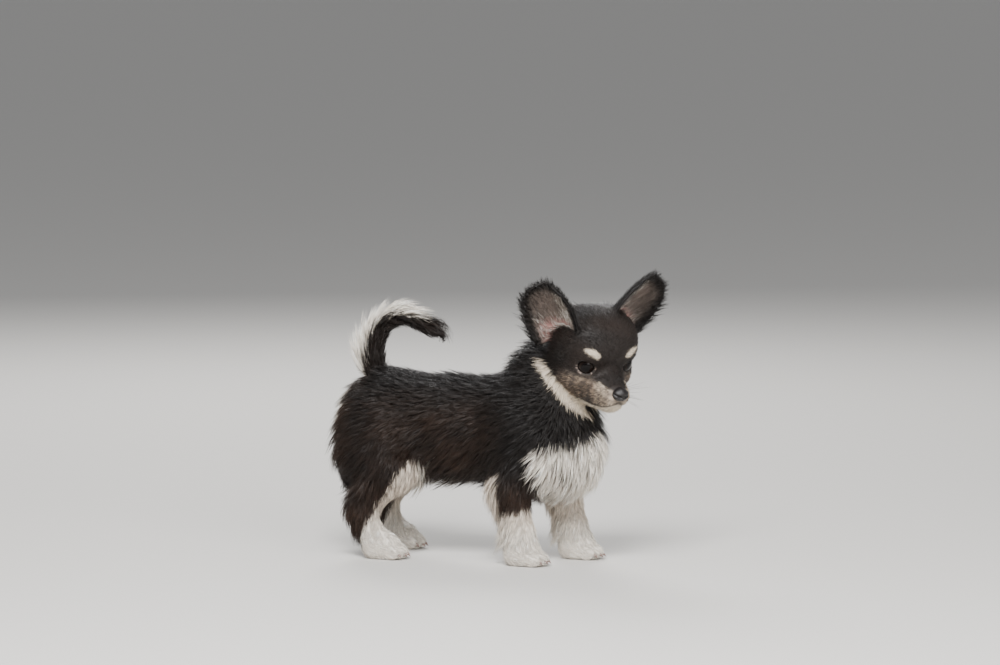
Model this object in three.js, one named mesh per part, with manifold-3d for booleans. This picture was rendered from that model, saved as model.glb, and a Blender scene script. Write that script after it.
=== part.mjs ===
// A long-coated chihuahua puppy about nine weeks old. It stands square with its head turned to its right,
// its large ears up and its tail carried in a sickle over the back.
// Millimetres, nose end along +X, its left along +Y, soles on z = 0.
// The flesh is a set of rounded forms that run into one another. Each node is a closed skin of facets drawn
// round them, parted from its neighbours by thin cuts, and the long coat stands on it as flat, tapered locks.
import * as THREE from "three";
import { mergeVertices } from "three/addons/utils/BufferGeometryUtils.js";
import Module from "manifold-3d";

const wasm = await Module();
wasm.setup();

// Driving sizes
const WITHERS = 134; // height of the back over the shoulders, under the coat
const TRUNK_LENGTH = 200; // breast to rump, under the coat
const CHEST_WIDTH = 58;
const RUMP_WIDTH = 54;
const SKULL_WIDTH = 61;
const MUZZLE_LENGTH = 22;
const EYE_RADIUS = 7.4;
const EAR_LENGTH = 51;
const EAR_WIDTH = 45;
const FORELEG_RADIUS = 9.2;
const HOCK_RADIUS = 8.6;
const PAW_LENGTH = 29;
const PAW_WIDTH = 20;
const TAIL_RADIUS = 8.5;
const CUT = 0.3; // clear gap between touching nodes
const SLIVER = 0.03; // edges shorter than this run into their neighbours
const TINY = 1e-6;

// Heights and stations worked out from them
const BACK_Z = WITHERS;
const CHEST_Z = WITHERS * 0.7;
const LOIN_Z = WITHERS * 0.745;
const CROUP_Z = WITHERS * 0.8;
const CHEST_X = TRUNK_LENGTH * 0.22;
const LOIN_X = -TRUNK_LENGTH * 0.09;
const CROUP_X = -TRUNK_LENGTH * 0.33;
const BREAST_X = TRUNK_LENGTH * 0.38;
const HEAD_CENTRE = new THREE.Vector3(95, -4, WITHERS * 1.198);
const HEAD_YAW = -38.5;
const HEAD_PITCH = 16;

// Coat: how far its tips stand off the flesh, of which the solid core takes the lower part
const CORE = { trunk: 3.2, head: 1.4, leg: 1.7, tail: 2.2 };

const point = (x, y, z) => new THREE.Vector3(x, y, z);
const degrees = THREE.MathUtils.degToRad;
const mix = THREE.MathUtils.lerp;

// Rounded forms, each a signed distance in millimetres

function ball(centre, radii, pitch = 0) {
  const turn = new THREE.Quaternion().setFromAxisAngle(point(0, 1, 0), degrees(-pitch));
  const q = new THREE.Vector3();
  return (p) => {
    q.subVectors(p, centre).applyQuaternion(turn);
    const near = Math.hypot(q.x / radii.x, q.y / radii.y, q.z / radii.z);
    const far = Math.hypot(q.x / radii.x ** 2, q.y / radii.y ** 2, q.z / radii.z ** 2);
    return (near * (near - 1)) / Math.max(far, TINY);
  };
}

function bone(a, ra, b, rb) {
  const along = new THREE.Vector3().subVectors(b, a);
  const square = along.lengthSq();
  const q = new THREE.Vector3();
  return (p) => {
    q.subVectors(p, a);
    const t = THREE.MathUtils.clamp(q.dot(along) / square, 0, 1);
    return q.addScaledVector(along, -t).length() - mix(ra, rb, t);
  };
}

// Runs several forms into one, with a fillet of about k
function blend(k, forms) {
  return (p) =>
    forms.reduce((d, form) => {
      const e = form(p);
      const h = Math.max(k - Math.abs(d - e), 0) / k;
      return Math.min(d, e) - (h * h * k) / 4;
    }, 1e3);
}

const bothSides = (make) => [make(-1), make(1)];

function normalAt(field, p) {
  const step = 0.25;
  const n = new THREE.Vector3();
  const q = p.clone();
  for (const axis of ["x", "y", "z"]) {
    q[axis] = p[axis] + step;
    const ahead = field(q);
    q[axis] = p[axis] - step;
    n[axis] = ahead - field(q);
    q[axis] = p[axis];
  }
  return n.normalize();
}

// How far along a ray the field reaches a level, starting inside the flesh
function reach(field, origin, direction, level) {
  const longest = 140;
  const q = new THREE.Vector3();
  const depth = (r) => field(q.copy(origin).addScaledVector(direction, r)) - level;
  let inside = 0;
  let outside = 0.5;
  while (depth(outside) < 0 && outside < longest) {
    inside = outside;
    outside += Math.max(0.4, -0.5 * depth(outside));
  }
  for (let i = 0; i < 16; i++) {
    const middle = (inside + outside) / 2;
    if (depth(middle) < 0) inside = middle;
    else outside = middle;
  }
  return outside;
}

// A skin of facets round a field: rings square to an axis curve, closed by a fan of rings at each end
class Skin {
  constructor({ field, axis, side, rings, sides, caps = 4 }) {
    this.field = field;
    this.side = side;
    this.sides = sides;
    this.curve = new THREE.CatmullRomCurve3(axis, false, "centripetal");
    this.rows = [];
    for (let i = caps; i > 0; i--) this.rows.push({ t: 0, tilt: (-90 * i) / (caps + 1) });
    for (let i = 0; i <= rings; i++) this.rows.push({ t: i / rings, tilt: 0 });
    for (let i = 1; i <= caps; i++) this.rows.push({ t: 1, tilt: (90 * i) / (caps + 1) });
  }

  ray(t, tilt, angle) {
    const origin = this.curve.getPointAt(t);
    const along = this.curve.getTangentAt(t);
    const first = this.side.clone().addScaledVector(along, -this.side.dot(along)).normalize();
    const second = new THREE.Vector3().crossVectors(along, first);
    const direction = first
      .multiplyScalar(Math.cos(angle) * Math.cos(tilt))
      .addScaledVector(second, Math.sin(angle) * Math.cos(tilt))
      .addScaledVector(along, Math.sin(tilt));
    return { origin, direction };
  }

  at(t, tilt, angle, level) {
    const { origin, direction } = this.ray(t, tilt, angle);
    return origin.addScaledVector(direction, reach(this.field, origin, direction, level));
  }

  geometry(level) {
    const points = [this.at(0, -Math.PI / 2, 0, level)];
    for (const row of this.rows)
      for (let j = 0; j < this.sides; j++)
        points.push(this.at(row.t, degrees(row.tilt), (j / this.sides) * 2 * Math.PI, level));
    points.push(this.at(1, Math.PI / 2, 0, level));
    return closedRings(points, this.rows.length, this.sides);
  }
}

// A pole, rings of equal count and a pole, as one closed geometry
function closedRings(points, rows, sides) {
  const at = (i, j) => 1 + i * sides + (j % sides);
  const last = points.length - 1;
  const faces = [];
  for (let j = 0; j < sides; j++) {
    faces.push(0, at(0, j + 1), at(0, j));
    faces.push(last, at(rows - 1, j), at(rows - 1, j + 1));
    for (let i = 0; i + 1 < rows; i++) {
      faces.push(at(i, j), at(i, j + 1), at(i + 1, j));
      faces.push(at(i, j + 1), at(i + 1, j + 1), at(i + 1, j));
    }
  }
  const geometry = new THREE.BufferGeometry().setFromPoints(points);
  geometry.setIndex(faces);
  return geometry;
}

// Solids: manifold-3d joins and cuts closed three.js geometries

function solid(geometry) {
  const bare = geometry.clone();
  bare.deleteAttribute("normal");
  bare.deleteAttribute("uv");
  const merged = mergeVertices(bare, 1e-4);
  return new wasm.Manifold(
    new wasm.Mesh({
      numProp: 3,
      vertProperties: new Float32Array(merged.attributes.position.array),
      triVerts: new Uint32Array(merged.index.array),
    }),
  );
}

function join(solids) {
  return solids.reduce((whole, next) => whole.add(next));
}

// A node is one closed body: loose scraps of a cut and sealed hollows go
function largest(body) {
  const parts = body.decompose();
  return parts.reduce((best, next) => (next.volume() > best.volume() ? next : best));
}

function node(name, body, material) {
  const mesh = largest(body.simplify(SLIVER)).getMesh();
  const geometry = new THREE.BufferGeometry();
  geometry.setAttribute("position", new THREE.BufferAttribute(new Float32Array(mesh.vertProperties), 3));
  geometry.setIndex(new THREE.BufferAttribute(new Uint32Array(mesh.triVerts), 1));
  geometry.computeVertexNormals();
  const made = new THREE.Mesh(geometry, material);
  made.name = name;
  return made;
}

function box({ low, high, pitch }, grow = 0) {
  const size = new THREE.Vector3().subVectors(high, low).addScalar(2 * grow);
  const centre = new THREE.Vector3().addVectors(low, high).multiplyScalar(0.5);
  const geometry = new THREE.BoxGeometry(size.x, size.y, size.z);
  geometry.rotateY(degrees(-pitch));
  geometry.translate(centre.x, centre.y, centre.z);
  return solid(geometry);
}

function tube(points, radiusX, radiusY, steps, sides = 8) {
  const section = new THREE.Shape();
  section.absellipse(0, 0, radiusX, radiusY, 0, 2 * Math.PI);
  const curve = new THREE.CatmullRomCurve3(points, false, "centripetal");
  const outline = new THREE.Shape(section.getPoints(sides).slice(0, -1));
  return solid(new THREE.ExtrudeGeometry(outline, { steps, extrudePath: curve, curveSegments: sides }));
}

// Finishes, from the photograph
const finish = (hex, roughness) => new THREE.MeshStandardMaterial({ color: hex, roughness, metalness: 0 });
const blackCoat = finish(0x1a1412, 0.75);
const whiteCoat = finish(0xe9ddca, 0.8);
const earSkin = finish(0x2a1f1c, 0.7);
const noseSkin = finish(0x0d0b0b, 0.35);
const eyeGloss = finish(0x08080a, 0.05);

// Trunk and neck
const trunkForms = [
  ball(point(CHEST_X, 0, CHEST_Z), point(46, CHEST_WIDTH / 2, 39)),
  ball(point(26, 0, BACK_Z - 22), point(34, 18, 24)),
  ball(point(LOIN_X, 0, LOIN_Z), point(48, 28, 36)),
  ball(point(CROUP_X, 0, CROUP_Z), point(36, RUMP_WIDTH / 2, 31)),
  ball(point(BREAST_X, 0, CHEST_Z - 8), point(24, 21, 27)),
  bone(point(49, 0, 108), 33, point(79, 2, 148), 22),
  ball(point(60, -2, 138), point(24, 20, 22)),
  ...bothSides((s) => ball(point(50, s * 21, 91), point(21, 12, 31), -12)),
  ...bothSides((s) => ball(point(CROUP_X - 4, s * 19, 86), point(31, 15, 35), 14)),
];
const trunkField = blend(13, trunkForms);
const trunkSkin = new Skin({
  field: trunkField,
  axis: [
    point(-66, 0, 104),
    point(-25, 0, 99),
    point(20, 0, 98),
    point(52, 0, 102),
    point(72, 0, 125),
    point(80, 2, 150),
  ],
  side: point(0, 1, 0),
  rings: 17,
  sides: 20,
  caps: 3,
});

// Legs: three bones and a paw each, run together
const TOES = [-0.36, -0.125, 0.125, 0.36];

function limb({ joints, radii, paw }) {
  const bones = joints.slice(1).map((joint, i) => bone(joints[i], radii[i], joint, radii[i + 1]));
  const heel = point(paw.x - PAW_LENGTH * 0.22, paw.y, 8);
  const pad = ball(paw.clone(), point(PAW_LENGTH * 0.45, PAW_WIDTH * 0.5, 9.5));
  const field = blend(7, [...bones, bone(heel, 8, paw, 8.5), pad]);
  const axis = [...joints, point(paw.x + PAW_LENGTH * 0.12, paw.y, 8)];
  const skin = new Skin({ field, axis, side: point(0, 1, 0), rings: 9, sides: 10, caps: 2 });
  return { paw, field, skin };
}

function toesAndClaws(paw, grow = 0) {
  const made = [];
  for (const [i, share] of TOES.entries()) {
    const middle = Math.abs(share) < 0.2;
    const x = paw.x + PAW_LENGTH * (middle ? 0.4 : 0.31);
    const y = paw.y + share * PAW_WIDTH * 1.05;
    const toe = new THREE.SphereGeometry(1, 6, 5);
    toe.scale(6.6 + grow, 3.5 + grow, 5.2 + grow);
    toe.translate(x, y, 5.4);
    made.push(solid(toe));
    const claw = new THREE.ConeGeometry(1.05 + grow, 6.5, 4);
    claw.rotateZ(degrees(-116));
    claw.translate(x + 5.6, y + share * 1.5, 3.4 + (i % 2) * 0.2);
    made.push(solid(claw));
  }
  return made;
}

const FORE_Y = 25;
const HIND_Y = 28;
const FORELEG_RADII = [13, 11.8, FORELEG_RADIUS, FORELEG_RADIUS - 0.6];
const HIND_LEG_RADII = [17, 14.5, HOCK_RADIUS + 0.6, HOCK_RADIUS - 0.4];
const limbs = {
  fore_right: limb({
    joints: [
      point(44, -FORE_Y + 3, 78),
      point(39, -FORE_Y, 57),
      point(46, -FORE_Y + 1, 22),
      point(46.5, -FORE_Y + 1, 12),
    ],
    radii: FORELEG_RADII,
    paw: point(49, -FORE_Y + 1, 8.5),
  }),
  fore_left: limb({
    joints: [
      point(58, FORE_Y - 3, 78),
      point(61, FORE_Y - 1, 57),
      point(69, FORE_Y + 0.5, 22),
      point(70, FORE_Y + 1, 12),
    ],
    radii: FORELEG_RADII,
    paw: point(73.5, FORE_Y + 1, 8.5),
  }),
  hind_right: limb({
    joints: [
      point(-64, -HIND_Y + 10, 86),
      point(-56, -HIND_Y + 4, 67),
      point(-80, -HIND_Y, 37),
      point(-70, -HIND_Y, 12),
    ],
    radii: HIND_LEG_RADII,
    paw: point(-62.5, -HIND_Y, 8.5),
  }),
  hind_left: limb({
    joints: [
      point(-70, HIND_Y - 9, 86),
      point(-64, HIND_Y - 2, 67),
      point(-88, HIND_Y + 1, 37),
      point(-80, HIND_Y + 2, 12),
    ],
    radii: HIND_LEG_RADII,
    paw: point(-72.5, HIND_Y + 2, 8.5),
  }),
};

// Tail: a sickle over the back, in three lengths
const tailPath = [
  point(-78, 0, 124),
  point(-82, 0, 140),
  point(-81, 0, 157),
  point(-77, 0, 168),
  point(-70, 0, 176),
  point(-60, 0, 179.5),
  point(-49, 0, 177),
  point(-41, 0, 172.5),
  point(-33, 0, 169),
];
const tailRadius = (t) => mix(TAIL_RADIUS, 3, Math.sqrt(t));
const tailCurve = new THREE.CatmullRomCurve3(tailPath, false, "centripetal");
const tailBones = [];
const TAIL_BONES = 14;
for (let i = 0; i < TAIL_BONES; i++) {
  const a = i / TAIL_BONES;
  const b = (i + 1) / TAIL_BONES;
  tailBones.push(bone(tailCurve.getPointAt(a), tailRadius(a), tailCurve.getPointAt(b), tailRadius(b)));
}
const tailField = (p) => Math.min(...tailBones.map((form) => form(p)));
const tailSkin = new Skin({
  field: tailField,
  axis: tailPath,
  side: point(0, 1, 0),
  rings: 17,
  sides: 8,
  caps: 2,
});

const tailRegions = {
  tail_root: { low: point(-130, -60, 100), high: point(-40, 60, 160), pitch: 0 },
  tail_tip: { low: point(-60, -60, 120), high: point(40, 60, 240), pitch: 0 },
};

// Head, in its own frame: x to the nose, y to its left, z to the crown
const skullHalf = SKULL_WIDTH / 2;
const noseTip = point(skullHalf + MUZZLE_LENGTH * 0.96, 0, -17);
const eyeCentre = (s) => point(19.4, s * 15.2, -3.4);
const gaze = (s) => point(0.84, s * 0.53, -0.02).normalize();
const faceForms = [
  ball(point(-2, 0, 4), point(30.5, skullHalf - 1, 28)),
  ...bothSides((s) => ball(point(8, s * 8, 11), point(21.5, 21, 20.5))),
  ...bothSides((s) => ball(point(6, s * 16, -13), point(18, 12.5, 14))),
  ...bothSides((s) => ball(point(20, s * 13, 6), point(9, 9, 7))),
  bone(point(18, 0, -14), 14, point(39, 0, -19.5), 8.2),
  ...bothSides((s) => bone(point(24, s * 6.5, -19), 9.2, point(40, s * 4.6, -20.5), 6.4)),
  ...bothSides((s) => bone(point(8, s * 6, -26), 12, point(35, s * 2.5, -28), 6.2)),
];
const headField = blend(6, faceForms);
const headSkin = new Skin({
  field: headField,
  axis: [point(-6, 0, 2), point(10, 0, -2), point(24, 0, -11), point(38, 0, -19)],
  side: point(0, 1, 0),
  rings: 14,
  sides: 20,
  caps: 4,
});

// The lids: two arcs round each eye, thick at the rim
function lids(s) {
  const out = gaze(s);
  const across = point(0, 0, 1).cross(out).normalize();
  const up = new THREE.Vector3().crossVectors(out, across);
  const rim = (angle, wide, high) => {
    const a = Math.cos(angle) * wide;
    const b = Math.sin(angle) * high;
    const deep = Math.sqrt(Math.max(EYE_RADIUS ** 2 - a * a - b * b, 4));
    return eyeCentre(s).addScaledVector(across, a).addScaledVector(up, b).addScaledVector(out, deep);
  };
  const arc = (from, to, high) => {
    const points = [];
    for (let i = 0; i <= 8; i++) points.push(rim(degrees(mix(from, to, i / 8)), 6.4, high));
    return points;
  };
  return [tube(arc(-8, 188, 5.2), 1.5, 1.3, 7, 5), tube(arc(172, 368, 5.0), 1.3, 1.2, 7, 5)];
}

function sphere(centre, radius, across = 12, down = 8) {
  const geometry = new THREE.SphereGeometry(radius, across, down);
  geometry.translate(centre.x, centre.y, centre.z);
  return solid(geometry);
}

// The line of the mouth: from one corner forward under the nose, round and back
function mouthLine() {
  const side = (s) => [
    point(20, s * 13, -31),
    point(28, s * 11, -31.2),
    point(35, s * 9, -30),
    point(41, s * 6.8, -28),
    point(46, s * 3.4, -25),
  ];
  const points = [...side(-1), point(48, 0, -24), ...side(1).reverse()];
  return tube(points, 1.6, 1.1, 16, 4);
}

// Nose pad with its nostrils
function nosePad(grow = 0) {
  const geometry = new THREE.SphereGeometry(1, 10, 8);
  geometry.scale(5.2 + grow, 6.4 + grow, 5 + grow);
  geometry.translate(noseTip.x - 4, 0, noseTip.z);
  return solid(geometry);
}

function nostril(s) {
  const path = [
    point(noseTip.x + 2, s * 2.0, noseTip.z - 0.4),
    point(noseTip.x - 1.2, s * 2.9, noseTip.z - 0.2),
    point(noseTip.x - 1.6, s * 5.6, noseTip.z + 0.6),
  ];
  return tube(path, 1.15, 0.9, 5, 4);
}

// An ear: a leaf-shaped cup, open to the front and side, thicker at its root.
// `s` runs from its root to its tip, `c` from one edge to the other, `lift` square to it.
function earSurface({ root, tip, open, length, width, cup }, grow, s, c, lift) {
  const out = tip.clone().normalize();
  const face = open.clone().addScaledVector(out, -open.dot(out)).normalize();
  const across = new THREE.Vector3().crossVectors(out, face);
  const round = Math.sqrt(Math.max(1 - (Math.abs(s - 0.36) / 0.66) ** 2.6, 0.015));
  const half = (width / 2 + grow) * round * mix(0.86, 1, Math.min(1, 3 * s));
  const bow = cup * (1 - 0.45 * s) * (c * c - 0.55);
  return root
    .clone()
    .addScaledVector(out, (length + grow) * s - 4)
    .addScaledVector(across, half * c)
    .addScaledVector(face, bow - 3.5 * s * s + lift);
}

function ear(shape, grow = 0) {
  const rows = 9;
  const columns = 7;
  const wall = (s) => mix(2.6, 1.1, Math.min(1, s * 2)) / 2 + grow;
  const end = shape.tip.clone().normalize();
  const points = [earSurface(shape, grow, 0, 0, 0).addScaledVector(end, -1)];
  for (let i = 0; i <= rows; i++) {
    const s = i / rows;
    for (let j = 0; j < 2 * columns; j++) {
      const front = j < columns;
      const c = front ? -1 + (2 * j) / columns : 1 - (2 * (j - columns)) / columns;
      const edge = j % columns === 0 ? 0 : 1;
      points.push(earSurface(shape, grow, s, c, (front ? 1 : -1) * wall(s) * edge));
    }
  }
  points.push(earSurface(shape, grow, 1, 0, 0).addScaledVector(end, 1));
  return solid(closedRings(points, rows + 1, 2 * columns));
}

const ears = {
  right: {
    root: point(-3, -28.5, 11),
    tip: point(0.1, -0.5, 0.86),
    open: point(0.5, -0.84, 0.1),
    length: EAR_LENGTH,
    width: EAR_WIDTH,
    cup: 12,
  },
  left: {
    root: point(-4, 20, 18),
    tip: point(0.1, 0.62, 0.7),
    open: point(0.85, 0.52, 0.1),
    length: EAR_LENGTH,
    width: EAR_WIDTH,
    cup: 12,
  },
};

// Head group
const headTurn = new THREE.Matrix4()
  .makeRotationZ(degrees(HEAD_YAW))
  .multiply(new THREE.Matrix4().makeRotationY(degrees(HEAD_PITCH)));
const headPlace = new THREE.Matrix4().makeTranslation(...HEAD_CENTRE.toArray()).multiply(headTurn);
const toHead = headPlace.clone().invert();

// Trunk parts: the shoulders and thighs go with the legs, and the neck ends at the skull
const regions = {
  leg_fore_right: { low: point(14, -80, -30), high: point(76, -14, 92), pitch: -8 },
  leg_fore_left: { low: point(20, 14, -30), high: point(82, 80, 92), pitch: -8 },
  leg_hind_right: { low: point(-140, -80, -30), high: point(-34, -5, 96), pitch: 8 },
  leg_hind_left: { low: point(-140, 5, -30), high: point(-34, 80, 96), pitch: 8 },
  neck: { low: point(62, -80, 96), high: point(190, 80, 240), pitch: -40 },
};

function holds({ low, high, pitch }, p) {
  const half = new THREE.Vector3().subVectors(high, low).multiplyScalar(0.5);
  const q = p.clone().sub(low).sub(half).applyAxisAngle(point(0, 1, 0), degrees(pitch));
  return Math.abs(q.x) < half.x && Math.abs(q.y) < half.y && Math.abs(q.z) < half.z;
}

const trunkOwner = (p) => Object.keys(regions).find((name) => holds(regions[name], p)) ?? "torso";

// Coat: flat, tapered locks of four sides that leave the skin, bend over and follow the lie
const LOCK_STEPS = 3;
const LOCK_SPREAD = [0.66, 1, 0.74];

function seeded(seed) {
  let state = seed;
  return () => {
    state = (state * 1664525 + 1013904223) % 4294967296;
    return state / 4294967296;
  };
}
const random = seeded(25);
const vary = (share) => 1 + share * (2 * random() - 1);

// From its sunken root a lock runs over the surface, rising to `lift` above it at the tip
function lockPath(field, root, lieAt, { length, lift, sink = 2.6 }) {
  const start = field(root);
  const q = root.clone();
  const path = [root.clone().addScaledVector(normalAt(field, root), -sink)];
  for (let i = 1; i <= LOCK_STEPS; i++) {
    const out = normalAt(field, q);
    const lie = lieAt(q);
    q.addScaledVector(lie.addScaledVector(out, -lie.dot(out)).normalize(), length / LOCK_STEPS);
    q.addScaledVector(normalAt(field, q), start + lift * (i / LOCK_STEPS) ** 0.8 - field(q));
    path.push(q.clone());
  }
  return path;
}

// A blade along a path, flat to `outs`, that can be made a little larger as a cutter
function blade(path, outs, width, thick) {
  return (grow) => {
    const points = [path[0].clone()];
    for (let i = 0; i < LOCK_STEPS; i++) {
      const along = new THREE.Vector3().subVectors(path[i + 1], path[Math.max(i - 1, 0)]).normalize();
      const side = new THREE.Vector3().crossVectors(outs[i], along).normalize();
      const up = new THREE.Vector3().crossVectors(along, side);
      const half = (width / 2) * LOCK_SPREAD[i] + grow;
      const deep = (thick / 2) * LOCK_SPREAD[i] + grow;
      for (const [a, b] of [[1, 0], [0, 1], [-1, 0], [0, -1]])
        points.push(path[i].clone().addScaledVector(side, a * half).addScaledVector(up, b * deep));
    }
    const end = path[LOCK_STEPS];
    const last = new THREE.Vector3().subVectors(end, path[LOCK_STEPS - 1]).normalize();
    points.push(end.clone().addScaledVector(last, 2 * grow));
    return solid(closedRings(points, LOCK_STEPS, 4));
  };
}

const coat = {};

function plant(owner, field, root, lieAt, shape) {
  const path = lockPath(field, root, lieAt, shape);
  const outs = path.map((p) => normalAt(field, p));
  (coat[owner] ??= []).push(blade(path, outs, shape.width, shape.thick ?? 2.2));
}

// How near a place is to what the coat parts round
const nearHead = (p) => headField(p.clone().applyMatrix4(toHead));
const nearLeg = (p) => Math.min(...Object.values(limbs).map(({ field }) => field(p)));
const hide = (p) => Math.min(trunkField(p) - CORE.trunk, nearLeg(p) - CORE.leg);

// Trunk and neck: back along the body, falling on the flanks and straight down the breast
const ROW = 21;
const NECK_ROW = 13;
const LOCK_PITCH = 22;
const LOCK_WIDTH = 17;

function trunkLie(p) {
  const fall = THREE.MathUtils.smoothstep(BACK_Z - p.z, -4, 60);
  const breast = THREE.MathUtils.smoothstep(p.x, 58, 88);
  return point(-1 + 0.75 * breast, 0, -mix(0.12, 0.95, fall) - 1.6 * breast);
}

const trunkLength = trunkSkin.curve.getLength();
const trunkRows = [-50, -18].map((tilt) => ({ t: 0, tilt }));
const neckStart = 0.6 * trunkLength;
for (let s = ROW * 0.45; s < trunkLength - 4; s += s < neckStart ? ROW : NECK_ROW)
  trunkRows.push({ t: s / trunkLength, tilt: 0 });
for (const [i, { t, tilt }] of trunkRows.entries()) {
  const across = trunkSkin.at(t, degrees(tilt), 0, 0).distanceTo(trunkSkin.at(t, degrees(tilt), Math.PI, 0));
  const count = Math.max(5, Math.round((1.12 * Math.PI * across) / LOCK_PITCH));
  for (let j = 0; j < count; j++) {
    const angle = ((j + (i % 2) / 2 + 0.2 * (random() - 0.5)) / count) * 2 * Math.PI;
    const place = THREE.MathUtils.clamp(t + 0.02 * (random() - 0.5), 0, 1);
    const root = trunkSkin.at(place, degrees(tilt), angle, CORE.trunk);
    const nape = t > 0.72 && Math.sin(angle) > -0.2;
    if (nape && i % 2) continue;
    if (nearHead(root) < 2.5 || tailField(root) < 6) continue;
    if (nearLeg(root) < 3) {
      if (Math.abs(root.y) < 20 || root.z < 58) continue;
      root.addScaledVector(normalAt(hide, root), -hide(root));
    }
    const under = Math.max(0, -trunkSkin.ray(t, degrees(tilt), angle).direction.z);
    const rump = THREE.MathUtils.smoothstep(-root.x, 66, 104);
    const breast = THREE.MathUtils.smoothstep(root.x, 60, 95);
    plant(trunkOwner(root), hide, root, trunkLie, {
      length: (26 + 4 * under + 3 * rump) * vary(0.1),
      width: LOCK_WIDTH * vary(0.1),
      lift: 5.4 + 7 * under + 4 * rump + 2.2 * breast + (nape ? 3.5 : 0),
    });
  }
}

// Tail: a plume along its length, longest on the outer side
const TAIL_CENTRE = point(-52, 0, 148);
const TAIL_ROW = 14;
const tailLength = tailCurve.getLength();
for (let s = 9, i = 0; s < tailLength - 4; s += TAIL_ROW, i++) {
  const t = s / tailLength;
  const along = tailCurve.getTangentAt(t);
  const count = t < 0.8 ? 5 : 4;
  for (let j = 0; j < count; j++) {
    const angle = ((j + (i % 2) / 2) / count) * 2 * Math.PI;
    const root = tailSkin.at(t, 0, angle, CORE.tail);
    if (trunkField(root) < CORE.trunk + 4) continue;
    const out = normalAt(tailField, root);
    const away = new THREE.Vector3().subVectors(root, TAIL_CENTRE).normalize();
    const outer = Math.max(0, out.dot(away));
    const owner = Object.keys(tailRegions).find((name) => holds(tailRegions[name], root)) ?? "tail_middle";
    plant(owner, tailField, root, () => along.clone(), {
      length: (17 + 6 * outer) * vary(0.1),
      width: mix(13, 9, t),
      lift: 2.2 + mix(21, 8, t) * outer * vary(0.15),
      sink: 2,
      thick: 1.8,
    });
  }
}

// Legs: feathering behind the forearm and the hock
for (const [name, { field, skin }] of Object.entries(limbs)) {
  const fore = name.startsWith("fore");
  for (const [i, t] of [0.3, 0.4, 0.5, 0.6, 0.68].entries()) {
    for (const angle of [i % 2 ? -68 : -112]) {
      const root = skin.at(t, 0, degrees(angle), CORE.leg);
      if (trunkField(root) < CORE.trunk + 3) continue;
      plant(`leg_${name}`, field, root, () => point(-0.3, 0, -1), {
        length: 15 * vary(0.12),
        width: 10,
        lift: fore ? 4 : 3.2,
        sink: 2,
        thick: 1.8,
      });
    }
  }
}

// Head: a ruff from the crown round the cheeks to the throat, lying back over the neck
const flesh = (p) => Math.min(trunkField(p) - CORE.trunk, nearHead(p) - CORE.head);
const turned = (x, y, z) => point(x, y, z).transformDirection(headTurn);
const headMiddle = point(-2, 0, 0).applyMatrix4(headPlace);
for (let turn = -156; turn < 180; turn += 24) {
  for (let lean = -0.9; lean < 0.7; lean += 0.1) {
    const direction = turned(lean, Math.sin(degrees(turn)), -Math.cos(degrees(turn)));
    const far = reach(nearHead, headMiddle, direction, CORE.head);
    const root = headMiddle.clone().addScaledVector(direction, far);
    if (trunkField(root) < CORE.trunk + 1.5) continue;
    const below = Math.cos(degrees(turn)) > -0.2 ? 1 : 0;
    plant("head", flesh, root, () => turned(-1, 0, -0.45 * below), {
      length: (11 + 4 * below) * vary(0.1),
      width: 10,
      lift: 2.4 + 2.2 * below,
      sink: 2,
      thick: 1.8,
    });
    break;
  }
}

// Ears: tufts on the back edge
const EAR_TUFTS = [0.12, 0.25, 0.38, 0.51, 0.64];
for (const [name, shape] of Object.entries(ears)) {
  const at = (s, c, lift = 0) => earSurface(shape, 0, s, c, lift).applyMatrix4(headPlace);
  const back = at(0.4, 1).x < at(0.4, -1).x ? 1 : -1;
  for (const share of EAR_TUFTS) {
    const edge = at(share, back);
    const root = at(share, 0.78 * back);
    const away = new THREE.Vector3().subVectors(edge, root).normalize();
    away.addScaledVector(point(0, 0, 1), 1.6 * (share - 0.45)).normalize();
    const outs = [0, 1, 2].map(() => new THREE.Vector3().subVectors(at(share, back, 1), edge));
    const length = mix(12.5, 9, share) * vary(0.1);
    const path = [root, ...[0.3, 0.7, 1].map((part) => edge.clone().addScaledVector(away, length * part))];
    (coat[`ear_${name}`] ??= []).push(blade(path, outs, 8, 1.4));
  }
}

// Nodes: each core with its coat, cut clear of the others' cores and of the coats placed before it
const headCore = solid(headSkin.geometry(CORE.head));
const headGrown = solid(headSkin.geometry(CORE.head + CUT + 0.05));
const headCutter = headGrown.transform(headPlace.elements);
const sockets = join([-1, 1].map((s) => sphere(eyeCentre(s), EYE_RADIUS + CUT)));
const trunkCore = solid(trunkSkin.geometry(CORE.trunk));
const trunkGrown = solid(trunkSkin.geometry(CORE.trunk + CUT + 0.05));
const tailCore = solid(tailSkin.geometry(CORE.tail));
const tailGrown = solid(tailSkin.geometry(CORE.tail + CUT + 0.05));
const above = (z) => box({ low: point(-300, -200, z), high: point(300, 200, 400), pitch: 0 });
const PASTERN = 17;

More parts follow.
